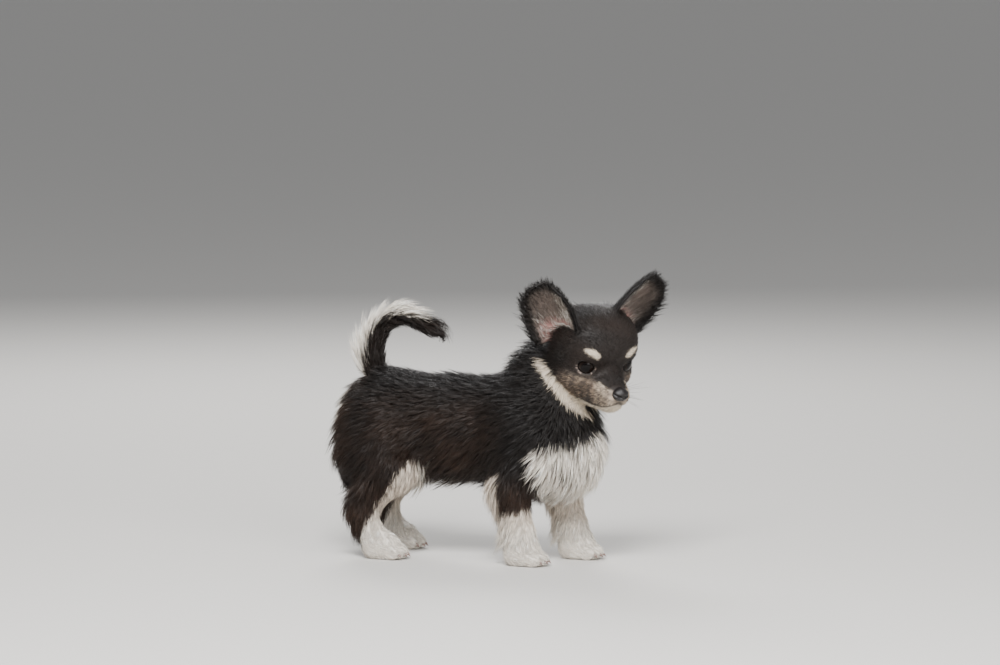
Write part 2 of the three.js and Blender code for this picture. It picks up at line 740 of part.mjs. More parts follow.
const cores = {};
const cutters = {};
cores.head = join([headCore, ...lids(-1), ...lids(1)])
  .subtract(sockets)
  .subtract(mouthLine())
  .subtract(nosePad(CUT))
  .transform(headPlace.elements);
cutters.head = headCutter;
for (const name of ["right", "left"]) {
  cores[`ear_${name}`] = ear(ears[name]).subtract(headGrown).transform(headPlace.elements);
  cutters[`ear_${name}`] = ear(ears[name], CUT).transform(headPlace.elements);
}
cores.neck = trunkCore.intersect(box(regions.neck)).subtract(headCutter);
cutters.neck = trunkGrown.intersect(box(regions.neck, CUT));
let torso = trunkCore.subtract(headCutter).subtract(tailGrown);
let torsoCutter = trunkGrown;
for (const region of Object.values(regions)) {
  torso = torso.subtract(box(region, CUT));
  torsoCutter = torsoCutter.subtract(box(region));
}
const feet = [];
for (const [name, { skin, paw }] of Object.entries(limbs)) {
  const whole = solid(skin.geometry(CORE.leg));
  const grown = solid(skin.geometry(CORE.leg + CUT + 0.05));
  const region = regions[`leg_${name}`];
  torso = torso.subtract(grown);
  cores[`leg_${name}`] = join([whole, trunkCore.intersect(box(region))]).intersect(above(PASTERN + CUT));
  cutters[`leg_${name}`] = join([grown, trunkGrown.intersect(box(region, CUT))]);
  const foot = join([whole, ...toesAndClaws(paw)]).intersect(above(0));
  feet.push([`paw_${name}`, foot.subtract(above(PASTERN))]);
}
cores.torso = torso;
cutters.torso = torsoCutter;
cores.tail_root = tailCore.intersect(box(tailRegions.tail_root));
const tailBeyond = tailCore.subtract(box(tailRegions.tail_root, CUT));
cores.tail_middle = tailBeyond.subtract(box(tailRegions.tail_tip, CUT));
cores.tail_tip = tailBeyond.intersect(box(tailRegions.tail_tip));
const tailBeyondCutter = tailGrown.subtract(box(tailRegions.tail_root));
cutters.tail_root = tailGrown.intersect(box(tailRegions.tail_root, CUT));
cutters.tail_middle = tailBeyondCutter.subtract(box(tailRegions.tail_tip));
cutters.tail_tip = tailBeyondCutter.intersect(box(tailRegions.tail_tip, CUT));

const finishes = { ear_right: earSkin, ear_left: earSkin };
const model = new THREE.Group();
const earlier = [];
for (const [name, core] of Object.entries(cores)) {
  let body = core;
  if (coat[name]) {
    let locks = join(coat[name].map((make) => make(0)));
    for (const other of Object.keys(cutters)) if (other !== name) locks = locks.subtract(cutters[other]);
    for (const grown of earlier) locks = locks.subtract(grown);
    earlier.push(join(coat[name].map((make) => make(CUT))));
    body = core.add(locks);
  }
  model.add(node(name, body, finishes[name] ?? blackCoat));
}
for (const [name, foot] of feet) model.add(node(name, foot, whiteCoat));
const nose = nosePad().subtract(join([nostril(-1), nostril(1)]));
model.add(node("nose", nose.transform(headPlace.elements), noseSkin));
for (const [name, s] of [["right", -1], ["left", 1]])
  model.add(node(`eye_${name}`, sphere(eyeCentre(s), EYE_RADIUS).transform(headPlace.elements), eyeGloss));

// Centred over the floor
const middle = new THREE.Box3().setFromObject(model).getCenter(point(0, 0, 0));
model.position.set(-middle.x, -middle.y, 0);

export default model;
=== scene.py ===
"""Looks of a long-coated chihuahua puppy: one skin, eyes, nose, claws and whiskers, and a coat of tufts.

The flesh is the same set of rounded forms as the solids, in millimetres, with the soles on z = 0. The skin
is drawn round them, and every tuft starts on the skin and follows the lie of the coat.
"""

import math

import bmesh
import bpy
import numpy as np
from mathutils import Matrix, Vector, kdtree


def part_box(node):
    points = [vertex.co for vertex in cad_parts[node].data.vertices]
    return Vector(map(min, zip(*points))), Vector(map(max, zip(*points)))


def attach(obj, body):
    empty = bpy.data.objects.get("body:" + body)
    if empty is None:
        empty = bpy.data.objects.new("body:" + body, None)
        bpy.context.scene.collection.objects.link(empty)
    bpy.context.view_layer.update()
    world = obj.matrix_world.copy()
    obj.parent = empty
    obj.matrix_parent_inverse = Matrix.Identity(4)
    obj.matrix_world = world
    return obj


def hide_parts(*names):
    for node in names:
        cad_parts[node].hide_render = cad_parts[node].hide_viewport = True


bl_info = {
    "name": "Long-coated chihuahua puppy",
    "version": (1, 0, 0),
    "blender": (4, 2, 0),
    "location": "View3D > Sidebar > Puppy",
    "description": "Skin, coat and features of a standing puppy",
    "category": "Object",
}

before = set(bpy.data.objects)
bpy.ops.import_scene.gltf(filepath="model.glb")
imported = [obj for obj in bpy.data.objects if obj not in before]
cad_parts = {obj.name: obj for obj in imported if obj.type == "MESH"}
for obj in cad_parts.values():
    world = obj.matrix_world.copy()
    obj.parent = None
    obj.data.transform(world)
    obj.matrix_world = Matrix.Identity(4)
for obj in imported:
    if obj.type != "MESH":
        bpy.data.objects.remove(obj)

# Driving sizes in millimetres, as in the solids
WITHERS = 134.0
TRUNK_LENGTH = 200.0
CHEST_WIDTH = 58.0
RUMP_WIDTH = 54.0
SKULL_WIDTH = 61.0
MUZZLE_LENGTH = 22.0
EYE_RADIUS = 7.4
EAR_LENGTH = 51.0
EAR_WIDTH = 45.0
FORELEG_RADIUS = 9.2
HOCK_RADIUS = 8.6
PAW_LENGTH = 29.0
PAW_WIDTH = 20.0
TAIL_RADIUS = 8.5
FORE_Y = 25.0
HIND_Y = 28.0
HEAD_CENTRE = np.array([95.0, -4.0, WITHERS * 1.198])
HEAD_YAW = math.radians(-38.5)
HEAD_PITCH = math.radians(16.0)
NOSE_PAD = (5.2, 6.4, 5.0)
TINY = 1e-6

# Lids: thickness over the eyeball, the opening's half width, and its height over and under its middle
LID = 1.0
OPENING_HALF = 6.2
OPENING_OVER = 5.3
OPENING_UNDER = 4.9

# Coat: depth of a root in the skin, bare reach round the nose, how far a tuft draws strands in, the side of
# a strand's patch of OFBake, and the most triangles in a piece
ROOT_DEPTH = 0.5
NOSE_CLEAR = 7.6
TUFT_REACH = 9.0
PATCH = 0.003
FACETS_A_PIECE = 190000

# Camera: its turn round the puppy, its place in millimetres, and its lens and tilt in the picture's pixels
VIEW_TURN = math.radians(22)
VIEW_BACK = 3568.0
VIEW_RIGHT = 18.75
VIEW_HEIGHT = 506.0
PICTURE_WIDTH = 1000.0
FOCAL_LENGTH = 4800.0
HORIZON_RISE = 452.5
SENSOR = 36.0

# Kinds of place on the body
TRUNK, LEG, TAIL, FACE, EAR = range(5)


def turn_y(angle):
    c, s = math.cos(angle), math.sin(angle)
    return np.array([[c, 0, s], [0, 1, 0], [-s, 0, c]])


def turn_z(angle):
    c, s = math.cos(angle), math.sin(angle)
    return np.array([[c, -s, 0], [s, c, 0], [0, 0, 1]])


HEAD_TURN = turn_z(HEAD_YAW) @ turn_y(HEAD_PITCH)


def to_head(p):
    return (p - HEAD_CENTRE) @ HEAD_TURN


def from_head(p):
    return np.asarray(p, float) @ HEAD_TURN.T + HEAD_CENTRE


def unit(v):
    v = np.asarray(v, float)
    return v / np.maximum(np.linalg.norm(v, axis=-1, keepdims=True), TINY)


def step(x, low, high):
    t = np.clip((x - low) / (high - low), 0, 1)
    return t * t * (3 - 2 * t)


# Rounded forms: signed distances over many points at once


def ball(centre, radii, pitch=0.0):
    c, r, turn = np.array(centre, float), np.array(radii, float), turn_y(math.radians(-pitch))

    def form(p):
        q = (p - c) @ turn.T
        near = np.linalg.norm(q / r, axis=1)
        far = np.linalg.norm(q / r**2, axis=1)
        return near * (near - 1) / np.maximum(far, TINY)

    return form


def bone(a, ra, b, rb):
    a, b = np.array(a, float), np.array(b, float)
    along = b - a

    def form(p):
        t = np.clip((p - a) @ along / (along @ along), 0, 1)
        return np.linalg.norm(p - a - t[:, None] * along, axis=1) - (ra + (rb - ra) * t)

    return form


def soft_min(d, e, k):
    h = np.maximum(k - np.abs(d - e), 0) / k
    return np.minimum(d, e) - h * h * k / 4


def blend(k, forms):
    def form(p):
        d = np.full(len(p), 1e3)
        for f in forms:
            d = soft_min(d, f(p), k)
        return d

    return form


def both(make):
    return [make(-1), make(1)]


def chain(make, path, radii):
    """A form from each point of a path to the next."""
    return [make(path[i], radii[i], path[i + 1], radii[i + 1]) for i in range(len(path) - 1)]


BACK_Z = WITHERS
CHEST_X, LOIN_X, CROUP_X, BREAST_X = (TRUNK_LENGTH * v for v in (0.22, -0.09, -0.33, 0.38))
CHEST_Z, LOIN_Z, CROUP_Z = (WITHERS * v for v in (0.7, 0.745, 0.8))

TRUNK_BALLS = (
    ((CHEST_X, 0, CHEST_Z), (46, CHEST_WIDTH / 2, 39)),
    ((26, 0, BACK_Z - 22), (34, 18, 24)),
    ((LOIN_X, 0, LOIN_Z), (48, 28, 36)),
    ((CROUP_X, 0, CROUP_Z), (36, RUMP_WIDTH / 2, 31)),
    ((BREAST_X, 0, CHEST_Z - 8), (24, 21, 27)),
)
NECK = ((49, 0, 108), 33, (79, 2, 148), 22)

trunk_field = blend(
    13,
    [
        *[ball(*form) for form in TRUNK_BALLS],
        bone(*NECK),
        ball((60, -2, 138), (24, 20, 22)),
        *both(lambda s: ball((50, s * 21, 91), (21, 12, 31), -12)),
        *both(lambda s: ball((CROUP_X - 4, s * 19, 86), (31, 15, 35), 14)),
    ],
)

FORELEG_RADII = (13, 11.8, FORELEG_RADIUS, FORELEG_RADIUS - 0.6)
HIND_LEG_RADII = (17, 14.5, HOCK_RADIUS + 0.6, HOCK_RADIUS - 0.4)
LIMBS = {
    "fore_right": (
        [(44, 3 - FORE_Y, 78), (39, -FORE_Y, 57), (46, 1 - FORE_Y, 22), (46.5, 1 - FORE_Y, 12)],
        FORELEG_RADII,
        (49, 1 - FORE_Y, 8.5),
    ),
    "fore_left": (
        [(58, FORE_Y - 3, 78), (61, FORE_Y - 1, 57), (69, FORE_Y + 0.5, 22), (70, FORE_Y + 1, 12)],
        FORELEG_RADII,
        (73.5, FORE_Y + 1, 8.5),
    ),
    "hind_right": (
        [(-64, 10 - HIND_Y, 86), (-56, 4 - HIND_Y, 67), (-80, -HIND_Y, 37), (-70, -HIND_Y, 12)],
        HIND_LEG_RADII,
        (-62.5, -HIND_Y, 8.5),
    ),
    "hind_left": (
        [(-70, HIND_Y - 9, 86), (-64, HIND_Y - 2, 67), (-88, HIND_Y + 1, 37), (-80, HIND_Y + 2, 12)],
        HIND_LEG_RADII,
        (-72.5, HIND_Y + 2, 8.5),
    ),
}
TOES = (-0.36, -0.125, 0.125, 0.36)
TOE_RADII = (6.4, 3.2, 5.0)


def toe_places(paw):
    for share in TOES:
        reach = 0.4 if abs(share) < 0.2 else 0.31
        yield share, np.array([paw[0] + PAW_LENGTH * reach, paw[1] + share * PAW_WIDTH * 1.05, 5.2])


def heel_bone(paw):
    return (paw[0] - PAW_LENGTH * 0.22, paw[1], 8), 8, paw, 8.5


def limb_field(joints, radii, paw):
    foot = [bone(*heel_bone(paw)), ball(paw, (PAW_LENGTH * 0.45, PAW_WIDTH * 0.5, 9.5))]
    leg = blend(7, chain(bone, joints, radii) + foot)
    toes = [ball(place, TOE_RADII) for _, place in toe_places(paw)]
    return lambda p: soft_min(leg(p), blend(0.8, toes)(p), 1.6)


limb_fields = {name: limb_field(*parts) for name, parts in LIMBS.items()}


def legs_field(p):
    return np.min([field(p) for field in limb_fields.values()], axis=0)


TAIL_PATH = np.array(
    [
        (-78, 124),
        (-82, 140),
        (-81, 157),
        (-77, 168),
        (-70, 176),
        (-60, 179.5),
        (-49, 177),
        (-41, 172.5),
        (-33, 169),
    ],
    float,
)


def tail_points(count):
    """Shares of the tail's length, and the points of its middle line there."""
    spans = np.linalg.norm(np.diff(TAIL_PATH, axis=0), axis=1)
    at = np.concatenate([[0], np.cumsum(spans)]) / spans.sum()
    t = np.linspace(0, 1, count)
    x, z = (np.interp(t, at, TAIL_PATH[:, k]) for k in (0, 1))
    return t, np.stack([x, np.zeros(count), z], 1)


TAIL_T, TAIL_POINTS = tail_points(15)
TAIL_RADII = [TAIL_RADIUS + (3 - TAIL_RADIUS) * math.sqrt(t) for t in TAIL_T]
tail_field = blend(2, chain(bone, TAIL_POINTS, TAIL_RADII))

# Head, in its own frame: x to the nose, y to its left, z to the crown
HALF = SKULL_WIDTH / 2
NOSE_TIP = np.array([HALF + MUZZLE_LENGTH * 0.96, 0, -17.0])
face_field = blend(
    6,
    [
        ball((-2, 0, 4), (30.5, HALF - 1, 28)),
        *both(lambda s: ball((8, s * 8, 11), (21.5, 21, 20.5))),
        *both(lambda s: ball((6, s * 16, -13), (18, 12.5, 14))),
        *both(lambda s: ball((20, s * 13, 6), (9, 9, 7))),
        bone((18, 0, -14), 14, (39, 0, -19.5), 8.2),
        *both(lambda s: bone((24, s * 6.5, -19), 9.2, (40, s * 4.6, -20.5), 6.4)),
        *both(lambda s: bone((8, s * 6, -26), 12, (35, s * 2.5, -28), 6.2)),
    ],
)


def eye_centre(s):
    return np.array([19.4, s * 15.2, -3.4])


def gaze(s):
    return unit([0.84, s * 0.53, -0.02])


def eye_axes(s):
    out = gaze(s)
    across = unit(np.cross([0, 0, 1], out))
    return out, across, np.cross(out, across)


EARS = {
    "right": {"root": (-3, -28.5, 11), "tip": (0.1, -0.5, 0.86), "open": (0.5, -0.84, 0.1)},
    "left": {"root": (-4, 20, 18), "tip": (0.1, 0.62, 0.7), "open": (0.85, 0.52, 0.1)},
}
EAR_CUP = 12.0


def ear_axes(shape):
    out = unit(shape["tip"])
    face = unit(np.array(shape["open"]) - out * np.dot(shape["open"], out))
    return out, face, np.cross(out, face)


def ear_half(s):
    leaf = np.sqrt(np.maximum(1 - (np.abs(s - 0.36) / 0.66) ** 2.6, 0.015))
    return EAR_WIDTH / 2 * leaf * np.clip(0.86 + 0.42 * s, 0.86, 1)


def ear_bow(s, c):
    return EAR_CUP * (1 - 0.45 * s) * (c * c - 0.55) - 3.5 * s * s


def ear_place(shape, p):
    """Places on an ear: shares of its length and half width, height off its sheet, and the half width."""
    out, face, across = ear_axes(shape)
    q = p - np.array(shape["root"])
    s = (q @ out + 4) / EAR_LENGTH
    half = ear_half(np.clip(s, 0, 1))
    c = (q @ across) / half
    return s, c, q @ face - ear_bow(np.clip(s, 0, 1.1), np.clip(c, -1.2, 1.2)), half


def ear_field(shape, thin=0.85):
    def form(p):
        s, c, high, half = ear_place(shape, p)
        slope = np.sqrt(1 + (2 * EAR_CUP * np.clip(c, -1, 1) / half) ** 2)
        wall = thin + 1.4 * (1 - step(s, 0, 0.35))
        sheet = np.abs(high) / slope - wall
        rim = (np.abs(c) - 1) * half * 0.8 + wall
        ends = np.maximum(s - 1, -s - 0.05) * EAR_LENGTH + wall
        outer = np.maximum(rim, ends)
        corner = np.hypot(np.maximum(sheet + wall, 0), np.maximum(outer, 0)) - wall
        return np.maximum(np.minimum(np.maximum(sheet, outer - wall), 0), corner)

    return form


ear_fields = {name: ear_field(shape) for name, shape in EARS.items()}
MOUTH = np.array(
    [(20, 13, -31), (28, 11, -31.2), (35, 9, -30), (41, 6.8, -28), (46, 3.4, -25), (48, 0, -24)],
    float,
)


def head_skin(p):
    """The head with its lids, eye openings and mouth."""
    d = face_field(p)
    for s in (-1, 1):
        q = p - eye_centre(s)
        d = soft_min(d, np.linalg.norm(q, axis=1) - (EYE_RADIUS + LID), 2.4)
    for s in (-1, 1):
        out, across, up = eye_axes(s)
        q = p - eye_centre(s)
        a, b, c = q @ across, q @ up, q @ out
        tall = np.where(b > 0, OPENING_OVER, OPENING_UNDER)
        opening = np.maximum((np.hypot(a / OPENING_HALF, b / tall) - 1) * 5.0, 2.5 - c)
        d = -soft_min(-d, opening, 0.9)
    mirrored = p * (1, -1, 1)
    for groove in chain(bone, MOUTH, [0.75] * len(MOUTH)):
        d = -soft_min(-d, groove(p), 0.8)
        d = -soft_min(-d, groove(mirrored), 0.8)
    return d


def head_field(p, detail=True):
    d = head_skin(p) if detail else face_field(p)
    for field in ear_fields.values():
        d = soft_min(d, field(p), 3.0)
    return d


def flesh(p, detail=False):
    """The whole skin of the puppy, as a signed distance in millimetres."""
    d = soft_min(trunk_field(p), legs_field(p), 6)
    d = soft_min(d, tail_field(p), 5)
    d = soft_min(d, head_field(to_head(p), detail), 5)
    return np.maximum(d, 0.3 - p[:, 2])


def slope_of(field, p, h=0.3):
    n = np.stack([field(p + h * e) - field(p - h * e) for e in np.eye(3)], 1)
    return n / (2 * h)


# From the lengths of this script to the frame's, found from the place of the right eye in both
SHIFT = np.array(sum(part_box("eye_right"), Vector())) * 500 - from_head(eye_centre(-1))


def metres(p):
    return (np.asarray(p, float) + SHIFT) / 1000


# Places on the body: which part is nearest, and the same place in the head's frame


def places(p):
    h = to_head(p)
    head = face_field(h)
    ears = np.min([field(h) for field in ear_fields.values()], axis=0)
    nearest = np.argmin(np.stack([trunk_field(p), legs_field(p), tail_field(p), head, ears]), axis=0)
    return nearest, h


def slope_z(p):
    return np.clip(slope_of(trunk_field, p)[:, 2], -1, 1)


TAIL_MIDDLE = np.array([-52.0, 0.0, 148.0])


def tail_outer(p):
    """1 on the outer side of the tail's curl, -1 on the inner side."""
    away = unit(p - TAIL_MIDDLE)
    return np.sum(away * slope_of(tail_field, p), axis=1)


def ear_local(h):
    """On the ear of the same side: shares of its length and half width, and 1 in its cup, 0 on its back."""
    s, lateral, inside = np.zeros(len(h)), np.zeros(len(h)), np.zeros(len(h))
    for sign, shape in zip((-1, 1), EARS.values()):
        u, c, high, _ = ear_place(shape, h)
        cup = step(high, -0.1, 0.3) * (np.abs(high) < 6)
        cup *= (1 - step(np.abs(c), 0.6, 0.85)) * (1 - step(u, 0.72, 0.92))
        mine = np.sign(h[:, 1]) == sign
        s = np.where(mine, u, s)
        lateral = np.where(mine, sign * c, lateral)
        inside = np.where(mine, cup, inside)
    return s, lateral, inside


def fold(h):
    """Places of the head with both sides laid on one."""
    return np.abs(h) * (0, 1, 0) + h * (1, 0, 1)


def near_path(p, path, radii):
    return np.min([form(p) for form in chain(bone, path, radii)], axis=0)


def near_mouth(h):
    radii = [0.8] * len(MOUTH)
    return np.minimum(near_path(h, MOUTH, radii), near_path(h * (1, -1, 1), MOUTH, radii))


def mouth_height(x):
    return np.interp(x, MOUTH[:, 0], MOUTH[:, 2])


# Markings: lines of the face in the head's frame with their half widths, then shares of cream from 0 to 1
STRIPE = np.array(
    [
        (-13.3, 35.6, -12.9),
        (-0.3, 33.1, -20.7),
        (7.3, 26.7, -28.4),
        (11, 18.1, -36.1),
        (11.7, 10, -41.1),
        (11.7, 1.2, -47),
    ]
)
STRIPE_HALF = (2.6, 3.4, 4.0, 4.4, 4.2, 2.6)
BROW = np.array([(26.6, 21.6, 10.6), (29.5, 17.5, 9.6), (31.4, 12.8, 6.6)])
BROW_HALF = (1.7, 2.6, 2.4)
FLARE = np.array([(33.5, 10.5, -13.5), (38, 9.0, -15.5), (43.5, 7.2, -18.5)])
FLARE_HALF = (1.0, 1.8, 1.8)

# Rear edge of the cream on the hind leg: height from the sole, and place along the body
HIND_EDGE_Z = (8, 18, 25, 41, 53, 73, 90)
HIND_EDGE_X = (-78, -77, -74, -66, -56, -42, -26)


def near_stripe(h, low, high):
    return 1 - step(near_path(fold(h), STRIPE, STRIPE_HALF), low, high)


def stripe_white(h):
    return near_stripe(h, -0.8, 1.6)


def mottled(h):
    """Where the muzzle and the cheek are a mix of cream, tan and grey-brown hairs."""
    x, side, low = h[:, 0], np.abs(h[:, 1]), -h[:, 2]
    muzzle = step(x, 26, 32) * step(low + 0.35 * side, 15.5, 18.5)
    cheek = step(x + 0.5 * low, 8, 17) * (1 - step(x, 30, 36)) * step(side, 11, 16) * step(low, 8, 14)
    return muzzle, cheek


def face_white(h):
    x, _, z = h.T
    side = fold(h)
    brow = 1 - step(near_path(side, BROW, BROW_HALF), -1.0, 0.8)
    flare = 1 - step(near_path(side, FLARE, FLARE_HALF), -0.8, 1.2)
    muzzle, cheek = mottled(h)
    spots = 0.75 + 0.5 * np.sin(x / 1.3 + z / 2.1) * np.sin(z / 1.1 - x / 2.6)
    chin = step(mouth_height(x) - z, 0.2, 1.6) * step(x, 0, 9)
    shares = [0.93 * stripe_white(h), 0.86 * brow, 0.58 * muzzle * spots, 0.34 * cheek * spots]
    return np.max([*shares, 0.85 * flare, 0.8 * chin], axis=0)


def hind_white(p):
    x, y, z = p.T
    dark_edge = np.interp(z, HIND_EDGE_Z, HIND_EDGE_X)
    return step(x - dark_edge + 8 * (y > 0), -3, 3) * (1 - step(z, 70, 80))


def fore_white(p):
    x, y, z = p.T
    front = 1 - step(z - 0.25 * (x - 50), 36, 46)
    back = 0.8 * step(-(x - 33 - (z < 30) * 8), -4, 2) * (z < 66) * (y < 0)
    far = (y > 0) * (1 - step(z, 72, 82))
    return np.max([front, back, far], axis=0)


def trunk_white(p, h):
    x, y, z = p.T
    bib = step(97 - 0.28 * np.abs(y) - z, -3, 4) * step(x - 0.15 * (97 - z), 50, 60)
    bib *= 0.6 + 0.4 * step(ball((78, -22, 70), (9, 13, 10))(p), -3, 3)
    belly = 0.25 * step(-slope_z(p), 0.75, 0.95) * step(x, -70, -40) * (1 - step(x, 20, 40))
    rump = step(18 - np.abs(y), -3, 5) * step(-x, 92, 99) * step(z, 86, 92) * (1 - step(z, 116, 124))
    thigh = 0.9 * hind_white(p) * (1 - step(x, -34, -24)) * step(np.abs(y), 8, 16)
    return np.max([bib, belly, 0.85 * rump, 0.92 * stripe_white(h), thigh], axis=0)


def ear_white(h):
    s, lateral, inside = ear_local(h)
    return inside * (0.12 + 0.5 * (1 - step(lateral, -0.6, 0.1)) + 0.25 * (1 - step(s, 0.2, 0.5)))


def white_share(p, where, h):
    """Share of cream in the coat at points of the puppy, 0 to 1."""
    leg = np.where(p[:, 0] > 0, fore_white(p), hind_white(p))
    tail = step(tail_outer(p), 0.35, 0.75) * (1 - step(p[:, 0], -52, -38))
    return np.choose(where, [trunk_white(p, h), leg, tail, face_white(h), ear_white(h)])


def warmth(p, where):
    """How brown the dark coat is: most on the rump, belly and middle of the flank."""
    x, y, z = p.T
    flank = (1 - step(np.abs(x + 25), 30, 75)) * (1 - step(np.abs(z - 92), 14, 42))
    ripple = 0.5 + 0.25 * np.sin(x / 6.1 + z / 9.3) + 0.25 * np.sin(z / 4.7 - x / 13.0 + y / 7.0)
    warm = np.max([0.45 * step(-x, 70, 108), 0.35 * (1 - step(z, 48, 80)), 0.25 * flank], axis=0)
    return np.where(where <= LEG, warm * (0.55 + 0.6 * ripple), 0.12 * ripple)


def mix(a, b, t):
    return a + (b - a) * np.asarray(t)[..., None]


def coat_colour(p, draw=None):
    """Linear colour of the coat at points of the puppy. `draw` makes each hair either light or dark."""
    tones = tones_of(bpy.context.scene.puppy_colours)
    where, h = places(p)
    white = white_share(p, where, h)
    if draw is not None:
        white = np.clip((white - draw) * 5 + 0.5, 0, 1)
    muzzle, cheek = mottled(h)
    face = (where == FACE).astype(float)
    pale = np.where(where == FACE, 0.15, 0.75) * (1 - 0.8 * near_stripe(h, 0, 4))
    light = mix(tones["cream"], tones["white"], pale)
    # Painted shade: the pale legs are mixed part way to tan from 18 to 40 mm up and higher, standing in for
    # the shade under the body.
    light = mix(light, tones["tan"], 0.35 * (where == LEG) * step(p[:, 2], 18, 40))
    tanned = np.clip(0.4 * muzzle + 0.8 * cheek, 0, 0.8) * (h[:, 2] > mouth_height(h[:, 0]))
    light = mix(light, tones["tan"], face * tanned)
    dark = mix(tones["black"], tones["brown"], warmth(p, where))
    dark = mix(dark, tones["grey"], face * np.clip(0.6 * muzzle + 0.35 * cheek + 0.03, 0, 1))
    _, lateral, inside = ear_local(h)
    ear = mix(tones["black"], tones["grey"], (0.25 + 0.5 * (1 - step(lateral, -0.2, 0.8))) * inside)
    dark = np.where((where == EAR)[:, None], ear, dark)
    return mix(dark, light, white)


def skin_colour(p):
    """The coat's colours on the skin, with bare skin in the ears, dark lips and lids, and a painted
    reflection as a pale line along each lower lid.
    """
    tones = tones_of(bpy.context.scene.puppy_colours)
    where, h = places(p)
    colour = coat_colour(p) * 0.8
    s, lateral, inside = ear_local(h)
    bare = mix(tones["pink"], tones["grey"], step(s, 0.12, 0.42))
    bare = mix(bare, tones["grey"] * 0.5, 0.8 * step(np.abs(lateral), 0.25, 0.7))
    colour = mix(colour, bare, 0.95 * inside * (where == EAR))
    colour = mix(colour, tones["black"], 0.85 * (1 - step(near_mouth(h), 0, 0.9)))
    for side in (-1, 1):
        out, across, up = eye_axes(side)
        q = h - eye_centre(side)
        front = (q @ out) > 0
        rim = np.abs(np.linalg.norm(q, axis=1) - EYE_RADIUS - 0.6)
        edge = np.hypot(q @ across / OPENING_HALF, q @ up / 5.1)
        lid = (1 - step(rim, 0.8, 2.4)) * (1 - step(np.abs(edge - 1), 0.12, 0.35)) * front
        colour = mix(colour, tones["black"], 0.95 * lid)
        # Painted reflection: a pale grey line just outside each lower lid stands in for light on the lid's
        # wet edge.
        low = step(-(q @ up), -2.5, 0.5) * (1 - step(rim, 2.0, 3.0)) * front
        colour = mix(colour, tones["grey"] * 1.9, 0.85 * low * (1 - step(np.abs(edge - 1.1), 0.05, 0.12)))
    return colour


# Lie of the coat


def lie_of(p, where, h):
    """The way that hairs run at points of the puppy, before it is laid along the skin."""
    x, _, z = p.T
    breast = step(x, 58, 88)
    fall = step(BACK_Z - z, -4, 60)
    lie = np.stack([-1 + 0.75 * breast, 0 * x, -(0.12 + 0.83 * fall) - 1.6 * breast], 1)
    rump = step(-x, 86, 104)[:, None]
    lie = lie * (1 - rump) + rump * np.array([-0.35, 0, -1.0])
    leg = np.stack([np.full_like(x, -0.22), 0 * x, np.full_like(x, -1.0)], 1)
    foot = 1 - step(z, 9, 18)
    leg = leg * (1 - foot)[:, None] + foot[:, None] * np.array([1.0, 0, -0.25])
    seg = np.argmin(np.linalg.norm(p[:, None, [0, 2]] - TAIL_POINTS[None, :, [0, 2]], axis=2), axis=1)
    tail = unit(np.gradient(TAIL_POINTS, axis=0))[seg]
    spread = 0.55 * np.sign(h[:, 1]) * step(np.abs(h[:, 1]), 0, 14)
    drop = 0.28 * step(h[:, 2], -12, 6) - 0.5 * step(-h[:, 2], 10, 22)
    drop = drop - 1.2 * step(-h[:, 0], -6, 12) * step(12 - h[:, 2], 0, 14)
    face = unit(np.stack([-np.ones_like(x), spread, drop], 1)) @ HEAD_TURN.T
    ear = np.zeros_like(p)
    for s, shape in zip((-1, 1), EARS.values()):
        out, _, across = ear_axes(shape)
        c = ear_place(shape, h)[1]
        mine = np.sign(h[:, 1]) == s
        ear[mine] = (out + 0.55 * np.clip(c, -1, 1)[:, None] * across)[mine] @ HEAD_TURN.T
    return unit(np.choose(where[:, None], [lie, leg, tail, face, ear]))


def coat_shape(p, where, h):
    """Length of the tufts and rise of their tips over the skin, at points of the puppy."""
    x, _, z = p.T
    rump, breast, under = step(-x, 70, 105), step(x, 60, 95), np.clip(-slope_z(p), 0, 1)
    neck = step(x - 0.6 * (130 - z), 60, 74) * step(z, 95, 110)
    nape = step(z + 0.6 * (x - 60), 132, 146) * (1 - step(x, 60, 84))
    base = 1 - step(z, 132, 168)
    collar = near_stripe(h, 2, 8)
    s, lateral, inside = ear_local(h)
    fringe = step(lateral, 0.55, 0.95) * (1 - step(s, 0.55, 0.95))
    # Trunk, leg, tail, face and ear
    length = [
        (14 + 6 * under + 4 * rump + 3 * breast + 2 * nape) * (1 - 0.58 * collar),
        8.5 + 4 * step(z, 45, 60) + 8 * feather(p),
        8 + (14 + 5 * base) * np.clip(tail_outer(p), 0, 1),
        3.0 + (3.4 * step(-h[:, 0], -22, -2) + 3.5 * ruff(h)) * (1 - 0.72 * collar) + 5 * tuft(h),
        4.5 + 2 * inside + 5 * fringe,
    ]
    rise = [
        (4.0 + 7 * under + 4.4 * rump + 2 * breast + neck + 4 * nape) * (1 - 0.65 * collar),
        1.6 + 1.6 * step(z, 45, 60) + 4.5 * feather(p),
        2.2 + (7.2 + 5.5 * base) * np.clip(tail_outer(p), 0, 1),
        0.9 + (1.5 * step(-h[:, 0], -22, -2) + 1.4 * ruff(h)) * (1 - 0.72 * collar) + 3.5 * tuft(h),
        1.0 + 1.0 * (1 - inside) + 0.8 * fringe,
    ]
    foot = (where == LEG) * (1 - step(z, 14, 24))
    length = np.choose(where, length) * (1 - 0.45 * foot)
    rise = np.choose(where, rise) * (1 - 0.45 * foot)
    return length, rise


def feather(p):
    """Long hair behind the forelegs and on the hocks."""
    return step(-slope_of(legs_field, p)[:, 0], 0.1, 0.8) * step(p[:, 2], 16, 26)


def tuft(h):
    """Longer hair on the crown at the inner root of each ear."""
    return 1 - step(np.linalg.norm(fold(h) - (-6, 15, 26), axis=1), 5, 12)


def ruff(h):
    """Long hair of the cheeks and behind the ears."""
    return step(-h[:, 0], -10, 8) * step(np.abs(h[:, 1]) - 0.4 * h[:, 2], 16, 26)


# Meshes


